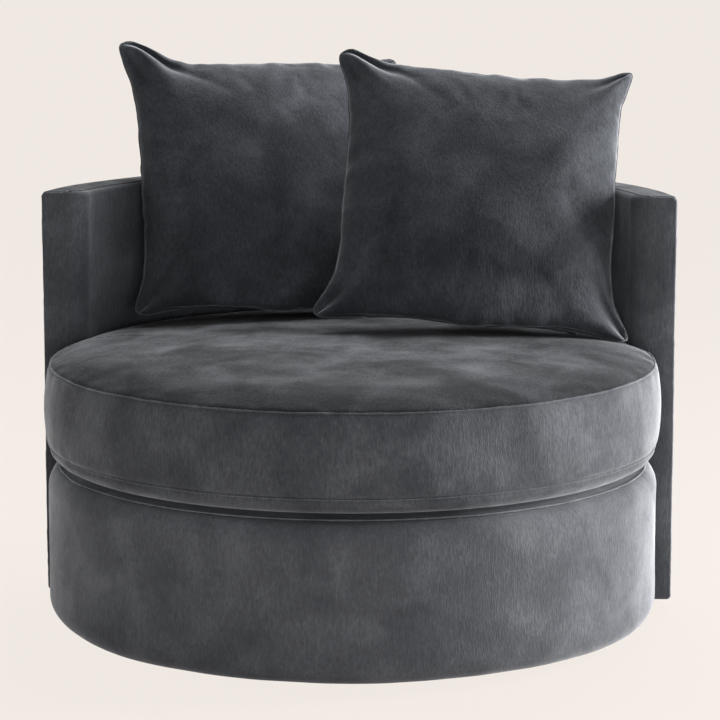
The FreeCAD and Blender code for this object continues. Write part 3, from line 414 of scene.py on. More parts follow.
def build_seam(name, line, radius, material, body, closed=False):
    """Rolled edge of a plain seam: a fine uneven ridge with the pile brushed over it."""
    width = radius * (1 + uneven(line, (0.35, 0.012, 21), (0.2, 0.004, 22)))
    grid_piece(name, tube_grid(line, width, 8, closed), material, body, wrap=closed)


# Seat cushion

# Radii of the underside's flat, the two seams and the crown's shoulder
FOOT_RADIUS, LOWER_RADIUS, UPPER_RADIUS, SHOULDER = 0.518, 0.545, 0.542, 0.430
CROWN_RISE, BAND_SWELL = 0.011, 0.008
UNDER_ROWS = 17
EAR_GAP, REAR_GAP = 0.005, 0.0014  # Kept clear of the arms' fronts and of the wall


def bow_radius(half_chord, rise):
    return (half_chord ** 2 + rise ** 2) / (2 * rise)


def cushion_profile():
    """Half section from the middle of the underside round to the middle of the crown, and its seams' rows."""
    bulge = bow_radius((UPPER_SEAM - LOWER_SEAM) / 2, BAND_SWELL)
    shoulder = (SHOULDER, SEAT_TOP - CROWN_RISE)
    under = np.concatenate([[SMALL_RADIUS], np.linspace(0.05, FOOT_RADIUS, UNDER_ROWS - 1)])
    parts = [profile_rows(under, SEAT_LOW),
             arc((FOOT_RADIUS, SEAT_LOW), (LOWER_RADIUS, LOWER_SEAM), 0.040, 16)[1:],
             arc((LOWER_RADIUS, LOWER_SEAM), (UPPER_RADIUS, UPPER_SEAM), bulge, 44)[1:],
             arc((UPPER_RADIUS, UPPER_SEAM), shoulder, 0.312, 40)[1:],
             arc(shoulder, (SMALL_RADIUS, SEAT_TOP), bow_radius(SHOULDER, CROWN_RISE), 60)[1:]]
    counts = np.cumsum([len(part) for part in parts])
    return np.concatenate(parts), counts[1] - 1, counts[2] - 1


def cushion_bearings():
    """Bearings all round, closer together at the two ears ahead of the arms."""
    ears = np.radians(np.arange(9.0, 15.0, 0.12))
    behind = np.radians(np.arange(15.0, 165.0, 0.6))
    before = np.radians(np.arange(171.0, 369.0, 0.5))
    return np.concatenate([ears, behind, math.pi - ears[::-1], before])


def cushion_limit(bearing):
    """Largest radius at a bearing: free in front, drawn in behind the ears, with rounded turns."""
    rear, soft = radius_of("seat_zip_chain") - REAR_GAP, 0.006
    lean = np.maximum(np.sin(bearing), 0.02)
    line = np.minimum((ARM_FRONT - EAR_GAP) / lean, 3.0)
    return rear + soft * np.log1p(np.exp(np.clip((line - rear) / soft, -40, 400)))


def build_seat_cushion(velvet, crown_velvet_painted_shade, thread):
    """Loose round cushion: crowned top, swelling band and soft underside, drawn in at its two seams."""
    profile, lower, upper = cushion_profile()
    bearing = cushion_bearings()
    limit = cushion_limit(bearing)[:, None]
    soft = 0.004
    radius = profile[None, :, 0]
    radius = np.where(limit > 1.0, radius, -soft * np.logaddexp(-radius / soft, -limit / soft))
    points = around(radius, bearing[:, None], profile[:, 1])
    run = profile_length(profile)
    to_lower, to_upper = run - run[lower], run - run[upper]
    band = ((to_lower > 0) & (to_upper < 0)).astype(float)
    move = np.clip(to_upper / 0.09, 0, 1) * uneven(points, (0.0030, 0.21, 31), (0.0013, 0.08, 32))
    move += band * uneven(points, (0.0013, 0.13, 33))
    for distance, seed in ((to_lower, 34), (to_upper, 36)):
        move += bell(np.abs(distance) - 0.016, 0.016) * uneven(points, (0.0012, 0.030, seed))
        move -= 0.0036 * bell(distance, PULL_WIDTH)
    move[:, :UNDER_ROWS] = 0
    # The rear half swells less, so that it clears the wall
    behind = np.clip((points[..., 1] - ARM_FRONT + 0.09) / 0.08, 0, 1)
    move -= behind * behind * (3 - 2 * behind) * np.clip(move, 0, 0.0012)
    shaped = soften(points, move, wrap=True)
    shaped[..., 2] = np.maximum(shaped[..., 2], SEAT_LOW)
    cushion = grid_piece("seat_cushion_velvet", shaped, velvet, "seat_cushion", wrap=True)
    # Painted shade: the crown takes the flat copy of the velvet, and the band and underside the darker down copy
    cushion.data.materials.append(crown_velvet_painted_shade)
    crown_faces_painted_shade = np.arange(len(cushion.data.polygons)) % (len(profile) - 1) >= upper
    cushion.data.polygons.foreach_set("material_index", crown_faces_painted_shade.astype(int).tolist())
    stands_for(cushion, 0.85, "seat_top_panel", "seat_band", "seat_bottom_panel", "seat_fibre_wrap",
               "seat_foam_core")
    outward = grid_normals(points, True)
    for name, column in (("seat_lower_seam", lower), ("seat_upper_seam", upper)):
        line = shaped[:, column] + outward[:, column] * 0.0010
        line = line + uneven(line, (0.0006, 0.06, 37))[:, None]
        build_seam(name, line, 0.0014, thread, "seat_cushion", closed=True)


# Wall of back and arms

ARM_SOFT, ARM_CRISP = 0.032, 0.005  # Rounds of an arm front's inner and other edges
TOP_SOFT, TOP_CRISP = 0.010, 0.008  # Rounds of the top's inner edge and of the outer edges
# Rows of the section: up the inside, the inner round, the top, down the outside, the lower round, under
INNER, TURN, TOP, OUTER, HEM, UNDER = 64, 8, 10, 64, 8, 10
SEAM_COLUMN = 4  # The arm front's velvet turns this far round the corner
TOP_START = INNER + TURN // 2 + 1
OUTER_START = INNER + TURN + TOP + TURN // 2


def wall_loop(inner_inset, outer_inset):
    """Closed section of the wall: up the inside, over the top, down the outside and under."""
    inner, outer = WALL_INNER + inner_inset, WALL_OUTER - outer_inset
    low, high = UNDERSIDE + outer_inset, WALL_TOP - outer_inset
    past_inner, before_outer = inner + TOP_SOFT, outer - TOP_CRISP
    parts = [profile_rows(inner, np.linspace(low, high - TOP_SOFT, INNER)),
             arc((inner, high - TOP_SOFT), (past_inner, high), -TOP_SOFT, TURN)[1:],
             profile_rows(np.linspace(past_inner, before_outer, TOP + 1)[1:], high),
             arc((before_outer, high), (outer, high - TOP_CRISP), -TOP_CRISP, TURN)[1:],
             profile_rows(outer, np.linspace(high - TOP_CRISP, low + TOP_CRISP, OUTER + 1)[1:]),
             arc((outer, low + TOP_CRISP), (before_outer, low), -TOP_CRISP, HEM)[1:],
             profile_rows(np.linspace(before_outer, inner, UNDER + 2)[1:-1], low)]
    return np.concatenate(parts)


def round_inset(from_end, radius):
    """How far a quarter round of an end has drawn the section in, at a distance from the end."""
    return radius - math.sqrt(max(radius ** 2 - max(radius - from_end, 0) ** 2, 0))


def wall_points():
    """Grid of the wall: a row for each point of the section, columns from one arm's front to the other's."""
    middle = (WALL_INNER + WALL_OUTER) / 2
    length = (math.pi - 2 * math.asin(ARM_FRONT / middle)) * middle
    near = ARM_SOFT * (1 - np.cos(np.linspace(0, math.pi / 2, 15)))
    body = np.linspace(ARM_SOFT + 0.006, length - ARM_SOFT - 0.006, 190)
    columns = []
    for distance in np.concatenate([near, body, length - near[::-1]]):
        from_end = min(distance, length - distance)
        loop = wall_loop(round_inset(from_end, ARM_SOFT), round_inset(from_end, ARM_CRISP))
        first = np.arcsin(ARM_FRONT / loop[:, 0])
        bearing = first + (math.pi - 2 * first) * distance / length
        columns.append(around(loop[:, 0], bearing, loop[:, 1]))
    return np.stack(columns, 1)


def arm_front(edge, side):
    """Grid of an arm's front face from its inner edge to its outer one, slightly full in the middle."""
    inner = edge[:INNER + TURN]
    outer = edge[OUTER_START - TURN // 2:OUTER_START + OUTER + HEM + 1][::-1]
    outer_x = np.interp(inner[:, 2], outer[:, 2], outer[:, 0] * side) * side
    share = np.linspace(0, 1, 11)[None, :]
    span = outer_x[:, None] - inner[:, :1]
    near_end = np.minimum(inner[:, 2] - UNDERSIDE, WALL_TOP - inner[:, 2])
    fade = np.clip(near_end / 0.05, 0, 1)[:, None]
    full = 0.0016 * (1 - (2 * share - 1) ** 2) * fade
    points = np.stack([inner[:, :1] + span * share, inner[:, 1:2] - full,
                       np.broadcast_to(inner[:, 2:], full.shape)], -1)
    points[:, 1:-1, 1] -= fade * uneven(points[:, 1:-1], (0.0006, 0.06, 45))
    return points if side > 0 else points[:, ::-1]


def cut_grid(name, points, rows, columns, material):
    """Piece from some rows and columns of a grid; rows may run past the last one and start again."""
    rows = [row % points.shape[0] for row in rows]
    return grid_piece(name, points[np.ix_(rows, columns)], material, "chair")


def build_wall(velvet, top_velvet_painted_shade, thread):
    """Velvet of the wall: one panel inside, one on top, one outside and one round each arm's front."""
    points = wall_points()
    rows, columns = points.shape[:2]
    index = np.arange(rows)
    inside = ((index < INNER + TURN) | (index > rows - 4)).astype(float)[:, None]
    # Upright folds: features are stretched along Z
    tall = points * np.array([1, 1, 0.22])
    move = inside * (uneven(tall, (0.0022, 0.055, 41)) + uneven(points, (0.0015, 0.16, 42)))
    move += (1 - inside) * uneven(points, (0.0010, 0.18, 43))
    from_top = np.abs(index - TOP_START)[:, None] * 0.0018
    move += inside * bell(from_top - 0.010, 0.02) * uneven(points, (0.0012, 0.034, 44))
    across = np.arange(columns)[None, :]
    last = columns - 1 - SEAM_COLUMN
    for column in (SEAM_COLUMN, last):
        move -= 0.0018 * bell(np.abs(across - column), 0.9) * (index >= TOP_START)[:, None]
    for row in (TOP_START, OUTER_START):
        move -= 0.0018 * bell(np.abs(index - row)[:, None], 0.9)
    move *= np.clip(np.minimum(across, columns - 1 - across) / 3, 0, 1)
    shaped = soften(points, move, wrap=True)
    for label, side, end, chosen in (("right", 1, 0, range(SEAM_COLUMN + 1)),
                                     ("left", -1, -1, range(last, columns))):
        face = arm_front(shaped[:, end], side)
        strip = shaped[np.ix_(range(TOP_START, rows - UNDER + 1), chosen)]
        shift = face.shape[0] * face.shape[1]
        faces = [tuple(reversed(four)) for four in grid_faces(*face.shape[:2], False)]
        faces += [tuple(k + shift for k in four) for four in grid_faces(*strip.shape[:2], False)]
        front = make_piece(f"{label}_arm_front_velvet",
                           np.concatenate([face.reshape(-1, 3), strip.reshape(-1, 3)]),
                           faces, velvet, "chair")
        stands_for(front, 0.9, f"{label}_arm_facing", f"{label}_arm_front_pad")
    whole, between = range(columns), range(SEAM_COLUMN, last + 1)
    for name, chosen, across, cloth, fill, nodes in (
            ("wall_inside_velvet", range(rows - UNDER, rows + TOP_START + 1), whole, velvet, 0.85,
             ("inside_back_cover", "wall_inner_foam")),
            ("wall_top_velvet", range(TOP_START, OUTER_START + 1), between, top_velvet_painted_shade, 0.9,
             ("top_border_cover", "wall_top_pad")),
            ("wall_outside_velvet", range(OUTER_START, rows - UNDER + 1), between, velvet, 0.95,
             ("outside_back_cover", "wall_wadding"))):
        stands_for(cut_grid(name, shaped, chosen, across, cloth), fill, *nodes)
    down = range(rows - UNDER - 2, TOP_START, -1)
    line = [shaped[row, SEAM_COLUMN] for row in down] + [shaped[TOP_START, column] for column in between]
    line += [shaped[row, last] for row in reversed(down)]
    build_seam("arm_and_top_seam", np.array(line), 0.0013, thread, "chair")
    build_seam("wall_outer_top_seam", shaped[OUTER_START, SEAM_COLUMN:last + 1], 0.0012, thread, "chair")


# Scatter pillows: side; centre with yaw, lean and roll in degrees; folds; ears. Each fold is a corner
# in square coordinates, the way it runs in degrees, its reach, its height and its width. Each ear is a
# place in square coordinates, how far it is drawn out and up, and its width

PILLOWS = (
    ("right", ((0.2194, 0.1897, 0.7570), 5.9, 25.1, 4.9),
     ((-1.0, 1.0, -20, 0.66, -0.024, 0.055), (-1.0, 1.0, -40, 0.60, 0.014, 0.100),
      (-1.0, 1.0, -66, 0.45, -0.014, 0.050), (-1.0, 1.0, -3, 0.34, 0.010, 0.045),
      (1.0, 1.0, -152, 0.45, -0.015, 0.050), (1.0, 1.0, -126, 0.45, 0.010, 0.070),
      (-1.0, -1.0, 64, 0.55, -0.018, 0.055), (-1.0, -1.0, 32, 0.55, 0.010, 0.090),
      (1.0, -1.0, 114, 0.55, -0.018, 0.055), (1.0, -1.0, 148, 0.55, 0.010, 0.090)),
     ((-0.93, 1.0, 0.000, 0.010, 0.16), (-1.02, 0.90, -0.009, 0.0, 0.12), (1.0, 1.0, 0.004, 0.008, 0.18),
      (-1.0, -0.95, -0.020, -0.002, 0.20), (1.0, -0.97, 0.024, -0.006, 0.22), (0.3, 1.0, 0.0, -0.006, 0.5))),
    ("left", ((-0.1802, 0.3602, 0.7575), 19.7, 24.3, 2.3),
     ((-1.0, 1.0, -24, 0.66, -0.024, 0.055), (-1.0, 1.0, -46, 0.55, 0.014, 0.100),
      (-1.0, 1.0, -68, 0.42, -0.014, 0.050), (1.0, 1.0, -140, 0.45, -0.012, 0.050),
      (-1.0, -1.0, 62, 0.55, -0.016, 0.055), (-1.0, -1.0, 34, 0.50, 0.010, 0.090)),
     ((-0.90, 1.0, 0.002, 0.024, 0.22), (-1.02, 0.90, -0.010, 0.004, 0.14), (-0.45, 1.0, 0.0, -0.006, 0.3),
      (-1.0, -0.96, -0.008, -0.007, 0.20))),
)


def pillow_net(cells):
    """Square coordinates, side and faces of a closed two-sided net; the border is shared."""
    line = np.sin(np.linspace(-1, 1, cells + 1) * math.pi / 2 * 0.86) / math.sin(math.pi / 2 * 0.86)
    flat, upright = np.meshgrid(line, line, indexing="ij")
    count = (cells + 1) ** 2
    front = np.arange(count).reshape(cells + 1, cells + 1)
    inner = np.zeros_like(front, bool)
    inner[1:-1, 1:-1] = True
    back = front.copy()
    back[inner] = count + np.arange(inner.sum())
    both = np.stack([flat, upright], -1)
    square = np.concatenate([both.reshape(-1, 2), both[inner]])
    side = np.concatenate([np.where(inner.ravel(), -1.0, 0.0), np.ones(inner.sum())])
    fours = [[net[:-1, :-1], net[1:, :-1], net[1:, 1:], net[:-1, 1:]] for net in (front, back)]
    faces = [np.stack(four, -1).reshape(-1, 4) for four in fours]
    faces[1] = faces[1][:, [0, 3, 2, 1]]
    return square, side, np.concatenate(faces).tolist(), front, back


def swollen(square, side, faces, sizes):
    """Cut-out panels blown up as a filled cover is, which puckers along the seam and at the corners."""
    u, v = square[:, 0], square[:, 1]
    start = np.stack([u * (sizes.half_width + 0.008), side * 0.010 * np.sqrt((1 - u * u) * (1 - v * v)),
                      v * (sizes.half_height + 0.008)], 1)
    item = new_object("pillow_cut", new_mesh("pillow_cut", start, faces))
    cloth = add_modifier(item, "CLOTH")
    set_all(cloth.settings, quality=6, mass=0.3, tension_stiffness=25, compression_stiffness=25,
            shear_stiffness=12, bending_stiffness=0.35, air_damping=2, use_pressure=True,
            uniform_pressure_force=sizes.filling_pressure)
    cloth.settings.effector_weights.gravity = 0
    cloth.collision_settings.use_collision = False
    for number in range(1, 31):
        bpy.context.scene.frame_set(number)
    worked = item.evaluated_get(bpy.context.evaluated_depsgraph_get())
    places = np.empty(len(start) * 3)
    worked.data.vertices.foreach_get("co", places)
    bpy.data.meshes.remove(item.data)
    bpy.context.scene.frame_set(1)
    return places.reshape(-1, 3)


def blur(values, rounds):
    """Averages each value of a grid with its neighbours, edges held."""
    for _ in range(rounds):
        inner = (values[:-2, 1:-1] + values[2:, 1:-1] + values[1:-1, :-2] + values[1:-1, 2:]) / 4
        values = values.copy()
        values[1:-1, 1:-1] = values[1:-1, 1:-1] * 0.4 + inner * 0.6
    return values


def round_corners(square, size):
    """Square coordinates whose four corners are bent into quarter rounds of a given share of the half side."""
    over = np.clip((np.abs(square) - (1 - size)) / size, 0, None)
    pull = over.max(1) / np.maximum(np.hypot(over[:, 0], over[:, 1]), 1e-9)
    bent = np.sign(square) * (np.minimum(np.abs(square), 1 - size) + over * pull[:, None] * size)
    return np.where((over > 0).all(1)[:, None], bent, square)


def lower_sag(share):
    """How far the middle of a pillow's lower side hangs; the zip hangs with it."""
    return 0.013 * bell(share, 0.35)


def plump(square, side, sizes):
    """Smooth form of a pillow: sides that flare at blunt corners, and a belly over the lower seam."""
    u, v = square[:, 0], square[:, 1]
    drawn = sizes.drawn_in / sizes.half_width
    # The front is fuller low down, where the filling settles
    full = np.where(side <= 0, 0.675 - 0.185 * np.clip((v + 0.9) / 0.3, 0, 1), 0.675)
    room = np.clip((1 - u * u) * (1 - v * v), 0, 1)
    belly = np.where(side < 0, 0.034, 0) * (1 - u * u) * bell(v + 0.86, 0.13) * np.clip((v + 1) / 0.05, 0, 1)
    out = side * sizes.half_thickness * room ** full - belly * 0.3
    sag = lower_sag(u) * bell(v + 1, 0.25)
    reach = np.where(u < 0, 4, np.where(v < 0, 8, 6))
    u, v = round_corners(square, 0.12).T
    flare = np.where(v > 0, 1 - np.abs(u) ** 5, 1 - u * u)
    return np.stack([u * sizes.half_width * (1 - drawn * u * u * (1 - np.abs(v) ** reach)), out,
                     v * sizes.half_height * (1 - drawn * v * v * flare) - belly - sag], 1)


def shape_pillow(moved, square, side, folds):
    """Raise or sink each fold, a crease that runs in from a corner and spreads as it goes."""
    u, v = square[:, 0], square[:, 1]
    for corner_u, corner_v, toward, reach, depth, width in folds:
        turn = math.radians(toward)
        along = (u - corner_u) * math.cos(turn) + (v - corner_v) * math.sin(turn)
        across = -(u - corner_u) * math.sin(turn) + (v - corner_v) * math.cos(turn)
        strength = np.clip(along / 0.08, 0, 1) * np.clip(1 - along / reach, 0, 1)
        spread = bell(across, width * (0.5 + along.clip(0)))
        moved[:, 1] += np.where(side <= 0, -1, 0.2) * depth * strength * spread
    return moved


def build_pillow(name, sizes, pose, folds, ears, velvet, thread, seed):
    """One loose pillow of swollen panels with a rolled seam round it; returns where it stands."""
    square, side, faces, front, back = pillow_net(sizes.cells)
    form = plump(square, side, sizes)
    blown = swollen(square, side, faces, sizes)
    for grid in (front, back):
        sheet = blown[grid]
        detail = sheet - blur(sheet, 60)
        calm = np.clip((1 - np.abs(square[grid])) / 0.02, 0, 1).min(-1)[..., None]
        form[grid] += np.clip(detail, -0.006, 0.006) * calm * sizes.crumple
    u, v = square[:, 0], square[:, 1]
    edge_u, edge_v = bell(1 - np.abs(u), 0.13), bell(1 - np.abs(v), 0.13)
    drift = uneven(form, (0.0026, 0.055, seed + 2), (0.0012, 0.021, seed + 3))
    form[:, 0] += np.sign(u) * edge_u * drift
    form[:, 2] += np.sign(v) * edge_v * drift * np.where(v < 0, 0.4, 1)
    pucker = (edge_u * swell(form * np.array([0.2, 1, 1]), 0.019, seed + 4)
              + edge_v * swell(form * np.array([1, 1, 0.2]), 0.019, seed + 5))
    loose = np.where(side <= 0, -1, 1) * np.clip((1 - u * u) * (1 - v * v) * 6, 0, 1)
    form[:, 1] += loose * 0.0028 * pucker
    form[:, 1] += loose * uneven(form, (0.0040, 0.12, seed), (0.0016, 0.05, seed + 1))
    form = shape_pillow(form, square, side, folds)
    for ear_u, ear_v, out, up, width in ears:
        near = bell(np.hypot(u - ear_u, v - ear_v), width)
        form[:, 0] += out * near
        form[:, 2] += up * near
    form[:, 1] = np.clip(form[:, 1], -sizes.half_thickness - 0.003, sizes.half_thickness)
    centre, yaw, lean, roll = pose
    stand = (Matrix.Translation(centre) @ Matrix.Rotation(math.radians(yaw), 4, "Z")
             @ Matrix.Rotation(math.radians(-lean), 4, "X") @ Matrix.Rotation(math.radians(roll), 4, "Y"))
    turn = np.array(stand.to_3x3())
    placed = form @ turn.T + np.array(centre)
    body = f"{name}_pillow"
    pillow = make_piece(f"{name}_pillow_velvet", placed, faces, velvet, body)
    add_modifier(pillow, "SUBSURF", levels=1, render_levels=1)
    stands_for(pillow, 0.75, *[f"{body}_{node}" for node in ("front_panel", "back_panel", "filling")])
    rim = np.concatenate([front[:, 0], front[-1, 1:], front[-2::-1, -1], front[0, -2:0:-1]])
    build_seam(f"{name}_pillow_seam", placed[rim], 0.0013, thread, body, closed=True)
    return stand


# Hidden cloth, webbing and zips

def build_webbing(tape):
    """Elastic straps woven over and under each other below the deck."""
    pitch, half_strap, steps = 0.1, 0.03, 160
    low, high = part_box("webbing_across")
    middle, limit = low.z + 0.0015, high.x - 0.0005
    for node, turned in (("webbing_across", False), ("webbing_along", True)):
        points, faces = [], []
        for number in range(-3, 4):
            near = number * pitch
            half = math.sqrt(max(limit ** 2 - (abs(near) + half_strap) ** 2, 0.0001))
            along = np.linspace(-half, half, steps)
            side = -1 if turned else 1
            rise = side * (-1) ** number * 0.0007 * np.cos(math.pi * along / pitch)
            start = len(points)
            for place, lift in zip(along, middle + rise):
                for across in (near - half_strap, near + half_strap):
                    points.append((across, place, lift) if turned else (place, across, lift))
            faces += [(k, k + 2, k + 3, k + 1) for k in range(start, len(points) - 2, 2)]
        strap = make_piece(f"{node}_straps", points, faces, tape, "chair")
        add_modifier(strap, "SOLIDIFY", thickness=0.0012, offset=0)
        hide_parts(node)


def build_dust_cover(cloth):
    """Black lining stapled under the frame, sagging slightly between its edges."""
    low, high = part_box("dust_cover")
    outer, inner = high.x, radius_of("plinth_disc") + 0.018
    share = np.linspace(0, 1, 14)[:, None]
    bearing = np.linspace(0, ALL_ROUND, 240, endpoint=False)[None, :]
    radius = inner + (outer - inner) * share
    sag = np.sin(share * math.pi) * (0.0004 + 0.0003 * np.cos(bearing * 24))
    points = around(radius, bearing, high.z - 0.0002 - sag)
    piece = grid_piece("dust_cover_cloth", np.swapaxes(points, 0, 1), cloth, "chair", wrap=True)
    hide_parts("dust_cover")


def coil(name, path, across, normal, tape, body, node):
    """Closed coil zip on its tape, along a path; each tooth is a swelling of the two coils."""
    path, across, normal = (np.asarray(value, float) for value in (path, across, normal))
    tooth = 0.5 + 0.5 * np.cos(np.arange(len(path)) * math.pi / 2)
    rows = []
    for reach, rise in ((-1, 0.0002), (-0.42, 0.0002), (-0.3, 0.0008), (-0.04, 0.0009), (0.0, 0.0006),
                        (0.04, 0.0009), (0.3, 0.0008), (0.42, 0.0002), (1, 0.0002)):
        raised = rise * (0.72 + 0.28 * tooth) if abs(reach) < 0.4 else np.full(len(path), rise)
        rows.append(path + across * reach * 0.0039 + normal * raised[:, None])
    points = np.stack(rows, 1)
    ribbon = grid_piece(name, points, tape, body)
    add_modifier(ribbon, "SOLIDIFY", thickness=0.0003, offset=0)
    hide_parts(node)


def build_pillow_zip(side, stand, sizes, tape):
    """Closed zip under the lower side of a pillow, in the hollow of its drawn-in edge."""
    reach = 0.190 / sizes.half_width
    share = np.linspace(-reach, reach, 560)
    low = -sizes.half_height + sizes.drawn_in * (sizes.half_height / sizes.half_width) * (1 - share ** 2)
    local = np.stack([share * sizes.half_width, np.zeros(560), low - lower_sag(share) - 0.0018], 1)
    turn = np.array(stand.to_3x3())
    path = local @ turn.T + np.array(stand.translation)
    coil(f"{side}_pillow_zip_coil", path, turn[:, 1], -turn[:, 2], tape, f"{side}_pillow",
         f"{side}_pillow_zip_chain")


def build_seat_zip(tape):
    """Closed zip round the back of the cushion's band."""
    low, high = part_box("seat_zip_chain")
    outer, sweep = high.y, math.asin(min(high.x / high.y, 1))
    bearing = np.linspace(math.pi / 2 - sweep, math.pi / 2 + sweep, 1500)
    normal = around(1.0, bearing, 0.0)
    path = around(outer - 0.0008, bearing, (low.z + high.z) / 2)
    coil("seat_zip_coil", path, (0, 0, 1), normal, tape, "seat_cushion", "seat_zip_chain")


# Sizes and colours

class ChairPillowSizes(bpy.types.PropertyGroup):
    half_width: FloatProperty(
        name="Half width", description="Half the width of a pillow between its corners",
        default=0.275, min=0.1, subtype="DISTANCE", unit="LENGTH")
    half_height: FloatProperty(
        name="Half height", description="Half the height of a pillow between its corners",
        default=0.262, min=0.1, subtype="DISTANCE", unit="LENGTH")
    half_thickness: FloatProperty(
        name="Half thickness", description="Half the thickness at the middle of a pillow",
        default=0.088, min=0.02, subtype="DISTANCE", unit="LENGTH")
    drawn_in: FloatProperty(
        name="Drawn in", description="How far a side curves in between two corners",
        default=0.027, min=0.0, subtype="DISTANCE", unit="LENGTH")
    filling_pressure: FloatProperty(
        name="Filling pressure", description="How hard the filling pushes the cover out",
        default=6.0, min=0.5, max=20.0)
    crumple: FloatProperty(
        name="Crumple", description="How much of the cover's puckering is kept",
        default=0.4, min=0.0, max=1.5, subtype="FACTOR")
    cells: IntProperty(
        name="Cells", description="Cells of the cover's net along each side", default=84, min=20, max=160)


class ChairFinishes(bpy.types.PropertyGroup):
    dark: StringProperty(
        name="Pile upright", description="Hex colour of velvet whose pile stands up", default="#35373b")
    middle: StringProperty(
        name="Pile", description="Hex colour of velvet as it usually lies", default="#424448")
    light: StringProperty(
        name="Pile laid over", description="Hex colour of velvet brushed away from the eye", default="#525458")
    # The edge colour is a painted sheen mixed into the base colour where the velvet is seen side on; it also
    # tints the real sheen
    edge: StringProperty(
        name="Pile side on", description="Hex colour of velvet seen along its surface", default="#8a8c90")
    sheen: FloatProperty(
        name="Sheen", description="Strength of the velvet's pale sheen", default=0.5, min=0.0, max=1.0,
        subtype="FACTOR")
    backdrop: StringProperty(
        name="Backdrop", description="Hex colour of the floor and background", default="#f0e9e3")
    lamps: FloatProperty(
        name="Lamps", description="Strength of all lamps together", default=1.0, min=0.1, max=3.0,
        subtype="FACTOR")


def shared_velvet(finishes, laid="out"):
    """Cut cotton velvet, dyed slate grey, in soft patches of brushed pile.

    Besides the usual velvet there are darker copies of it as painted shade: down for the seat band, up for the
    pillows, and flat, the darkest, for the cushion's crown and the wall's top.
    """
    # Painted shade: the down, up and flat tones are darker copies of the usual velvet
    dark, middle, light = {"out": (finishes.dark, finishes.middle, finishes.light),
                           "down": ("#2a2c30", "#393b3f", "#4b4d51"),
                           "up": ("#222428", "#2f3135", "#404247"),
                           "flat": ("#131517", "#1e2022", "#323437")}[laid]
    # The flat copy is the darkest painted shade, for the tops, with a weaker painted sheen
    if laid == "flat":
        return brushed_velvet("velvet_painted_light_flat", dark, middle, light, "#808286", 0.12, 0.7, 6.5)
    return brushed_velvet(f"velvet_painted_light_{laid}", dark, middle, light, finishes.edge, finishes.sheen)


def shared_thread(finishes):
    """The same velvet pulled tight over a seam, given paler tones as a painted highlight along the seam's ridge.
    """
    return brushed_velvet("seam_velvet_painted_highlight", finishes.middle, finishes.light, "#63666a",
                          "#8d9094", finishes.sheen)


def shared_tape():
    """Spun polyester zip tape with moulded nylon coil, dyed to match."""
    return woven_tape("woven_polyester_zip", "#32353a", 0.0011)


# Studio

def aim(item, place, target):
    """Stand a lamp or camera at a place and turn it to a target."""
    item.location = place
    item.rotation_euler = (Vector(target) - Vector(place)).to_track_quat("-Z", "Y").to_euler()


def soft_lamp(name, place, target, size, watts):
    """White soft box that faces a place."""
    lamp = set_all(bpy.data.lights.new(name, "AREA"), shape="RECTANGLE", size=size[0], size_y=size[1],
                   energy=watts)
    aim(new_object(name, lamp), place, target)


def seen_directly(tree):
    """1 for a ray from the camera, a mirror or glass, else 0."""
    path = add(tree, "ShaderNodeLightPath")
    seen = path.outputs["Is Camera Ray"]
    for name in ("Is Glossy Ray", "Is Transmission Ray"):
        seen = add(tree, "ShaderNodeMath", {0: seen, 1: path.outputs[name]}, operation="MAXIMUM").outputs[0]
    return seen


def build_backdrop(colour):
    """Pale floor that keeps a faint shadow, and a background of the same colour."""
    material, tree = new_tree("pale_matt_sweep")
    # Painted paper's fine unevenness, 40 mm across
    place = add(tree, "ShaderNodeTexCoord").outputs["Object"]
    paper = add(tree, "ShaderNodeTexNoise", {"Vector": place, "Scale": 25.0, "Detail": 2.0}).outputs["Fac"]
    relief = add(tree, "ShaderNodeBump", {"Height": paper, "Strength": 0.1, "Distance": 0.0004})
    matt = add(tree, "ShaderNodeBsdfDiffuse", {"Color": colour, "Normal": relief.outputs["Normal"]})
    glow = add(tree, "ShaderNodeEmission", {"Color": colour, "Strength": 1.02})
    share = add(tree, "ShaderNodeMath", {0: seen_directly(tree), 1: 0.97}, operation="MULTIPLY")
    mixed = add(tree, "ShaderNodeMixShader", {0: share.outputs[0], 1: matt.outputs[0], 2: glow.outputs[0]})
    add(tree, "ShaderNodeOutputMaterial", {"Surface": mixed.outputs[0]})
    bearing = np.linspace(0, ALL_ROUND, 96, endpoint=False)[:, None]
    points = around(np.array([0.001, 1.0, 3.0, 8.0, 20.0, 45.0]), bearing, 0.0)
    mesh = new_mesh("studio_floor", points, grid_faces(*points.shape[:2], True))
    mesh.flip_normals()
    mesh.materials.append(material)
    floor = new_object("studio_floor", mesh)

    world = bpy.context.scene.world or bpy.data.worlds.new("studio")
    bpy.context.scene.world = world
    world.use_nodes = True
    tree = world.node_tree
    tree.nodes.clear()
    ambient = add(tree, "ShaderNodeBackground", {"Color": (0.90, 0.89, 0.88, 1.0), "Strength": 0.30})
    shown = add(tree, "ShaderNodeBackground", {"Color": colour, "Strength": 1.0})
    mixed = add(tree, "ShaderNodeMixShader", {0: seen_directly(tree), 1: ambient.outputs[0],
                                             2: shown.outputs[0]})
    add(tree, "ShaderNodeOutputWorld", {"Surface": mixed.outputs[0]})


def build_camera():
    """Camera fitted to the photograph's view."""
    data = set_all(bpy.data.cameras.new("studio_camera"), lens=163.4, sensor_width=36.0, clip_end=120.0)
    camera = new_object("studio_camera", data)
    aim(camera, (0.4108, -5.7590, 1.437), (0.0131, 0.0009, 0.478))
    bpy.context.scene.camera = camera


# Operators

class ChairBase(bpy.types.Operator):
    """Build the velvet of the round base and the deck."""
    bl_idname = "chair.base"
    bl_label = "Base and deck"

    def execute(self, context):
        finishes = context.scene.chair_finishes
        build_drum(shared_velvet(finishes), shared_thread(finishes))
        return {"FINISHED"}


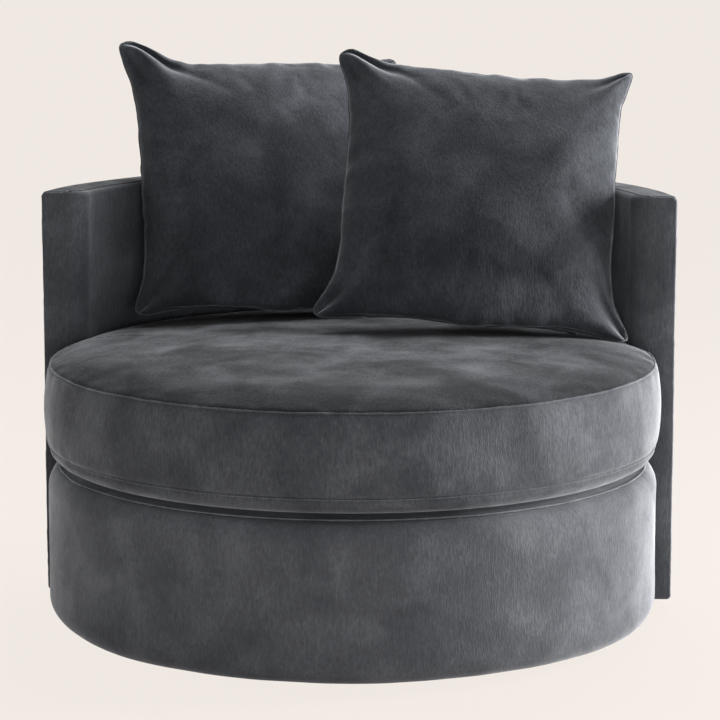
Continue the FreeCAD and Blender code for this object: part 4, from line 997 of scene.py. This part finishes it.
class ChairSeatCushion(bpy.types.Operator):
    """Build the loose round seat cushion and its zip."""
    bl_idname = "chair.seat_cushion"
    bl_label = "Seat cushion"

    def execute(self, context):
        finishes = context.scene.chair_finishes
        # Painted shade: the down copy for the band and underside, the flat copy for the crown
        build_seat_cushion(shared_velvet(finishes, "down"), shared_velvet(finishes, "flat"),
                           shared_velvet(finishes))
        build_seat_zip(shared_tape())
        return {"FINISHED"}


class ChairWall(bpy.types.Operator):
    """Build the velvet of the back and arms."""
    bl_idname = "chair.wall"
    bl_label = "Back and arms"

    def execute(self, context):
        finishes = context.scene.chair_finishes
        # Painted shade: the flat copy of the velvet for the wall's top
        build_wall(shared_velvet(finishes), shared_velvet(finishes, "flat"), shared_thread(finishes))
        return {"FINISHED"}


class ChairPillows(bpy.types.Operator):
    """Build the two scatter pillows and their zips."""
    bl_idname = "chair.pillows"
    bl_label = "Scatter pillows"

    def execute(self, context):
        finishes, sizes = context.scene.chair_finishes, context.scene.chair_pillows
        for number, (side, pose, folds, ears) in enumerate(PILLOWS):
            # Painted shade: the pillows take the darker up copy of the velvet
            stand = build_pillow(side, sizes, pose, folds, ears, shared_velvet(finishes, "up"),
                                 shared_velvet(finishes), 60 + 10 * number)
            build_pillow_zip(side, stand, sizes, shared_tape())
        return {"FINISHED"}


class ChairHiddenCloth(bpy.types.Operator):
    """Build the webbing under the deck and the dust cover under the frame."""
    bl_idname = "chair.hidden_cloth"
    bl_label = "Webbing and dust cover"

    def execute(self, context):
        # Elastic webbing: rubber yarn under spun cotton, threads 2 mm apart
        build_webbing(woven_tape("woven_elastic_webbing", "#2a2724", 0.002))
        # Spun-bonded lining cloth, threads 1.2 mm apart
        build_dust_cover(woven_tape("spun_bonded_lining", "#18181a", 0.0012))
        return {"FINISHED"}


class ChairFrameFinishes(bpy.types.Operator):
    """Give the frame, turntable, plinth, glides and zip sliders their finishes."""
    bl_idname = "chair.frame_finishes"
    bl_label = "Frame finishes"

    def execute(self, context):
        finishes = {
            # Sanded birch plywood: long pale grain 6 mm apart
            "plywood": plain_finish("sanded_birch_plywood", "#cbb084", 0.62, 0.006, 0.0002, 0.22,
                                    stretch=(1.0, 1.0, 0.12)),
            # Lacquered plywood: satin black with 3 mm orange peel
            "painted_plinth": plain_finish("black_lacquered_plywood", "#141416", 0.42, 0.003, 0.00012, 0.15),
            # Zinc plated steel: bright grey with 4 mm spangle
            "zinc_steel": plain_finish("zinc_plated_steel", "#a9acae", 0.34, 0.004, 0.00003, 0.1, 1.0),
            # Lacquered zinc casting: dark satin with 1 mm grain
            "zip_metal": plain_finish("lacquered_zinc_slider", "#3b3e42", 0.36, 0.001, 0.00002, 0.1, 1.0),
            # Moulded nylon: matt black with a 1.5 mm spark texture
            "glide_plastic": plain_finish("moulded_black_nylon", "#1b1b1c", 0.55, 0.0015, 0.00005, 0.15)}
        for part in frame["record"]["subparts"]:
            node = frame["nodes"][part["node"]]
            if part["material_slot"] in finishes and not node.hide_render:
                node.data.materials.clear()
                node.data.materials.append(finishes[part["material_slot"]])
        return {"FINISHED"}


class ChairStage(bpy.types.Operator):
    """Set the floor, lamps and camera."""
    bl_idname = "chair.stage"
    bl_label = "Studio"

    def execute(self, context):
        finishes = context.scene.chair_finishes
        build_backdrop(linear(finishes.backdrop))
        for name, place, size, watts in (("front_lamp", (0.9, -4.6, 0.68), (2.4, 1.2), 85),
                                         ("right_strip", (3.2, 0.35, 0.9), (0.9, 2.2), 370),
                                         ("left_strip", (-3.2, 0.2, 1.0), (0.9, 2.2), 34),
                                         ("top_lamp", (0.4, 1.3, 3.3), (1.6, 1.6), 135)):
            soft_lamp(name, place, (0.0, 0.0, 0.45), size, watts * finishes.lamps)
        context.scene.view_settings.view_transform = "Standard"
        build_camera()
        return {"FINISHED"}


class ChairPanel(bpy.types.Panel):
    """Sizes, colours and steps of the chair"""
    bl_idname = "VIEW3D_PT_chair_looks"
    bl_label = "Chair"
    bl_space_type = "VIEW_3D"
    bl_region_type = "UI"
    bl_category = "Chair"

    def draw(self, context):
        for group in (context.scene.chair_pillows, context.scene.chair_finishes):
            box = self.layout.box()
            for name in group.__annotations__:
                box.prop(group, name)
        for step in STEPS:
            self.layout.operator(step.bl_idname)


STEPS = (ChairBase, ChairSeatCushion, ChairWall, ChairPillows, ChairHiddenCloth, ChairFrameFinishes, ChairStage)
CLASSES = (ChairPillowSizes, ChairFinishes, *STEPS, ChairPanel)


def register():
    for item in CLASSES:
        bpy.utils.register_class(item)
    bpy.types.Scene.chair_pillows = PointerProperty(type=ChairPillowSizes)
    bpy.types.Scene.chair_finishes = PointerProperty(type=ChairFinishes)


def unregister():
    del bpy.types.Scene.chair_finishes
    del bpy.types.Scene.chair_pillows
    for item in reversed(CLASSES):
        bpy.utils.unregister_class(item)


def main():
    register()
    bpy.ops.chair.base()
    bpy.ops.chair.seat_cushion()
    bpy.ops.chair.wall()
    bpy.ops.chair.pillows()
    bpy.ops.chair.hidden_cloth()
    bpy.ops.chair.frame_finishes()
    bpy.ops.chair.stage()


if __name__ == "__main__":
    main()
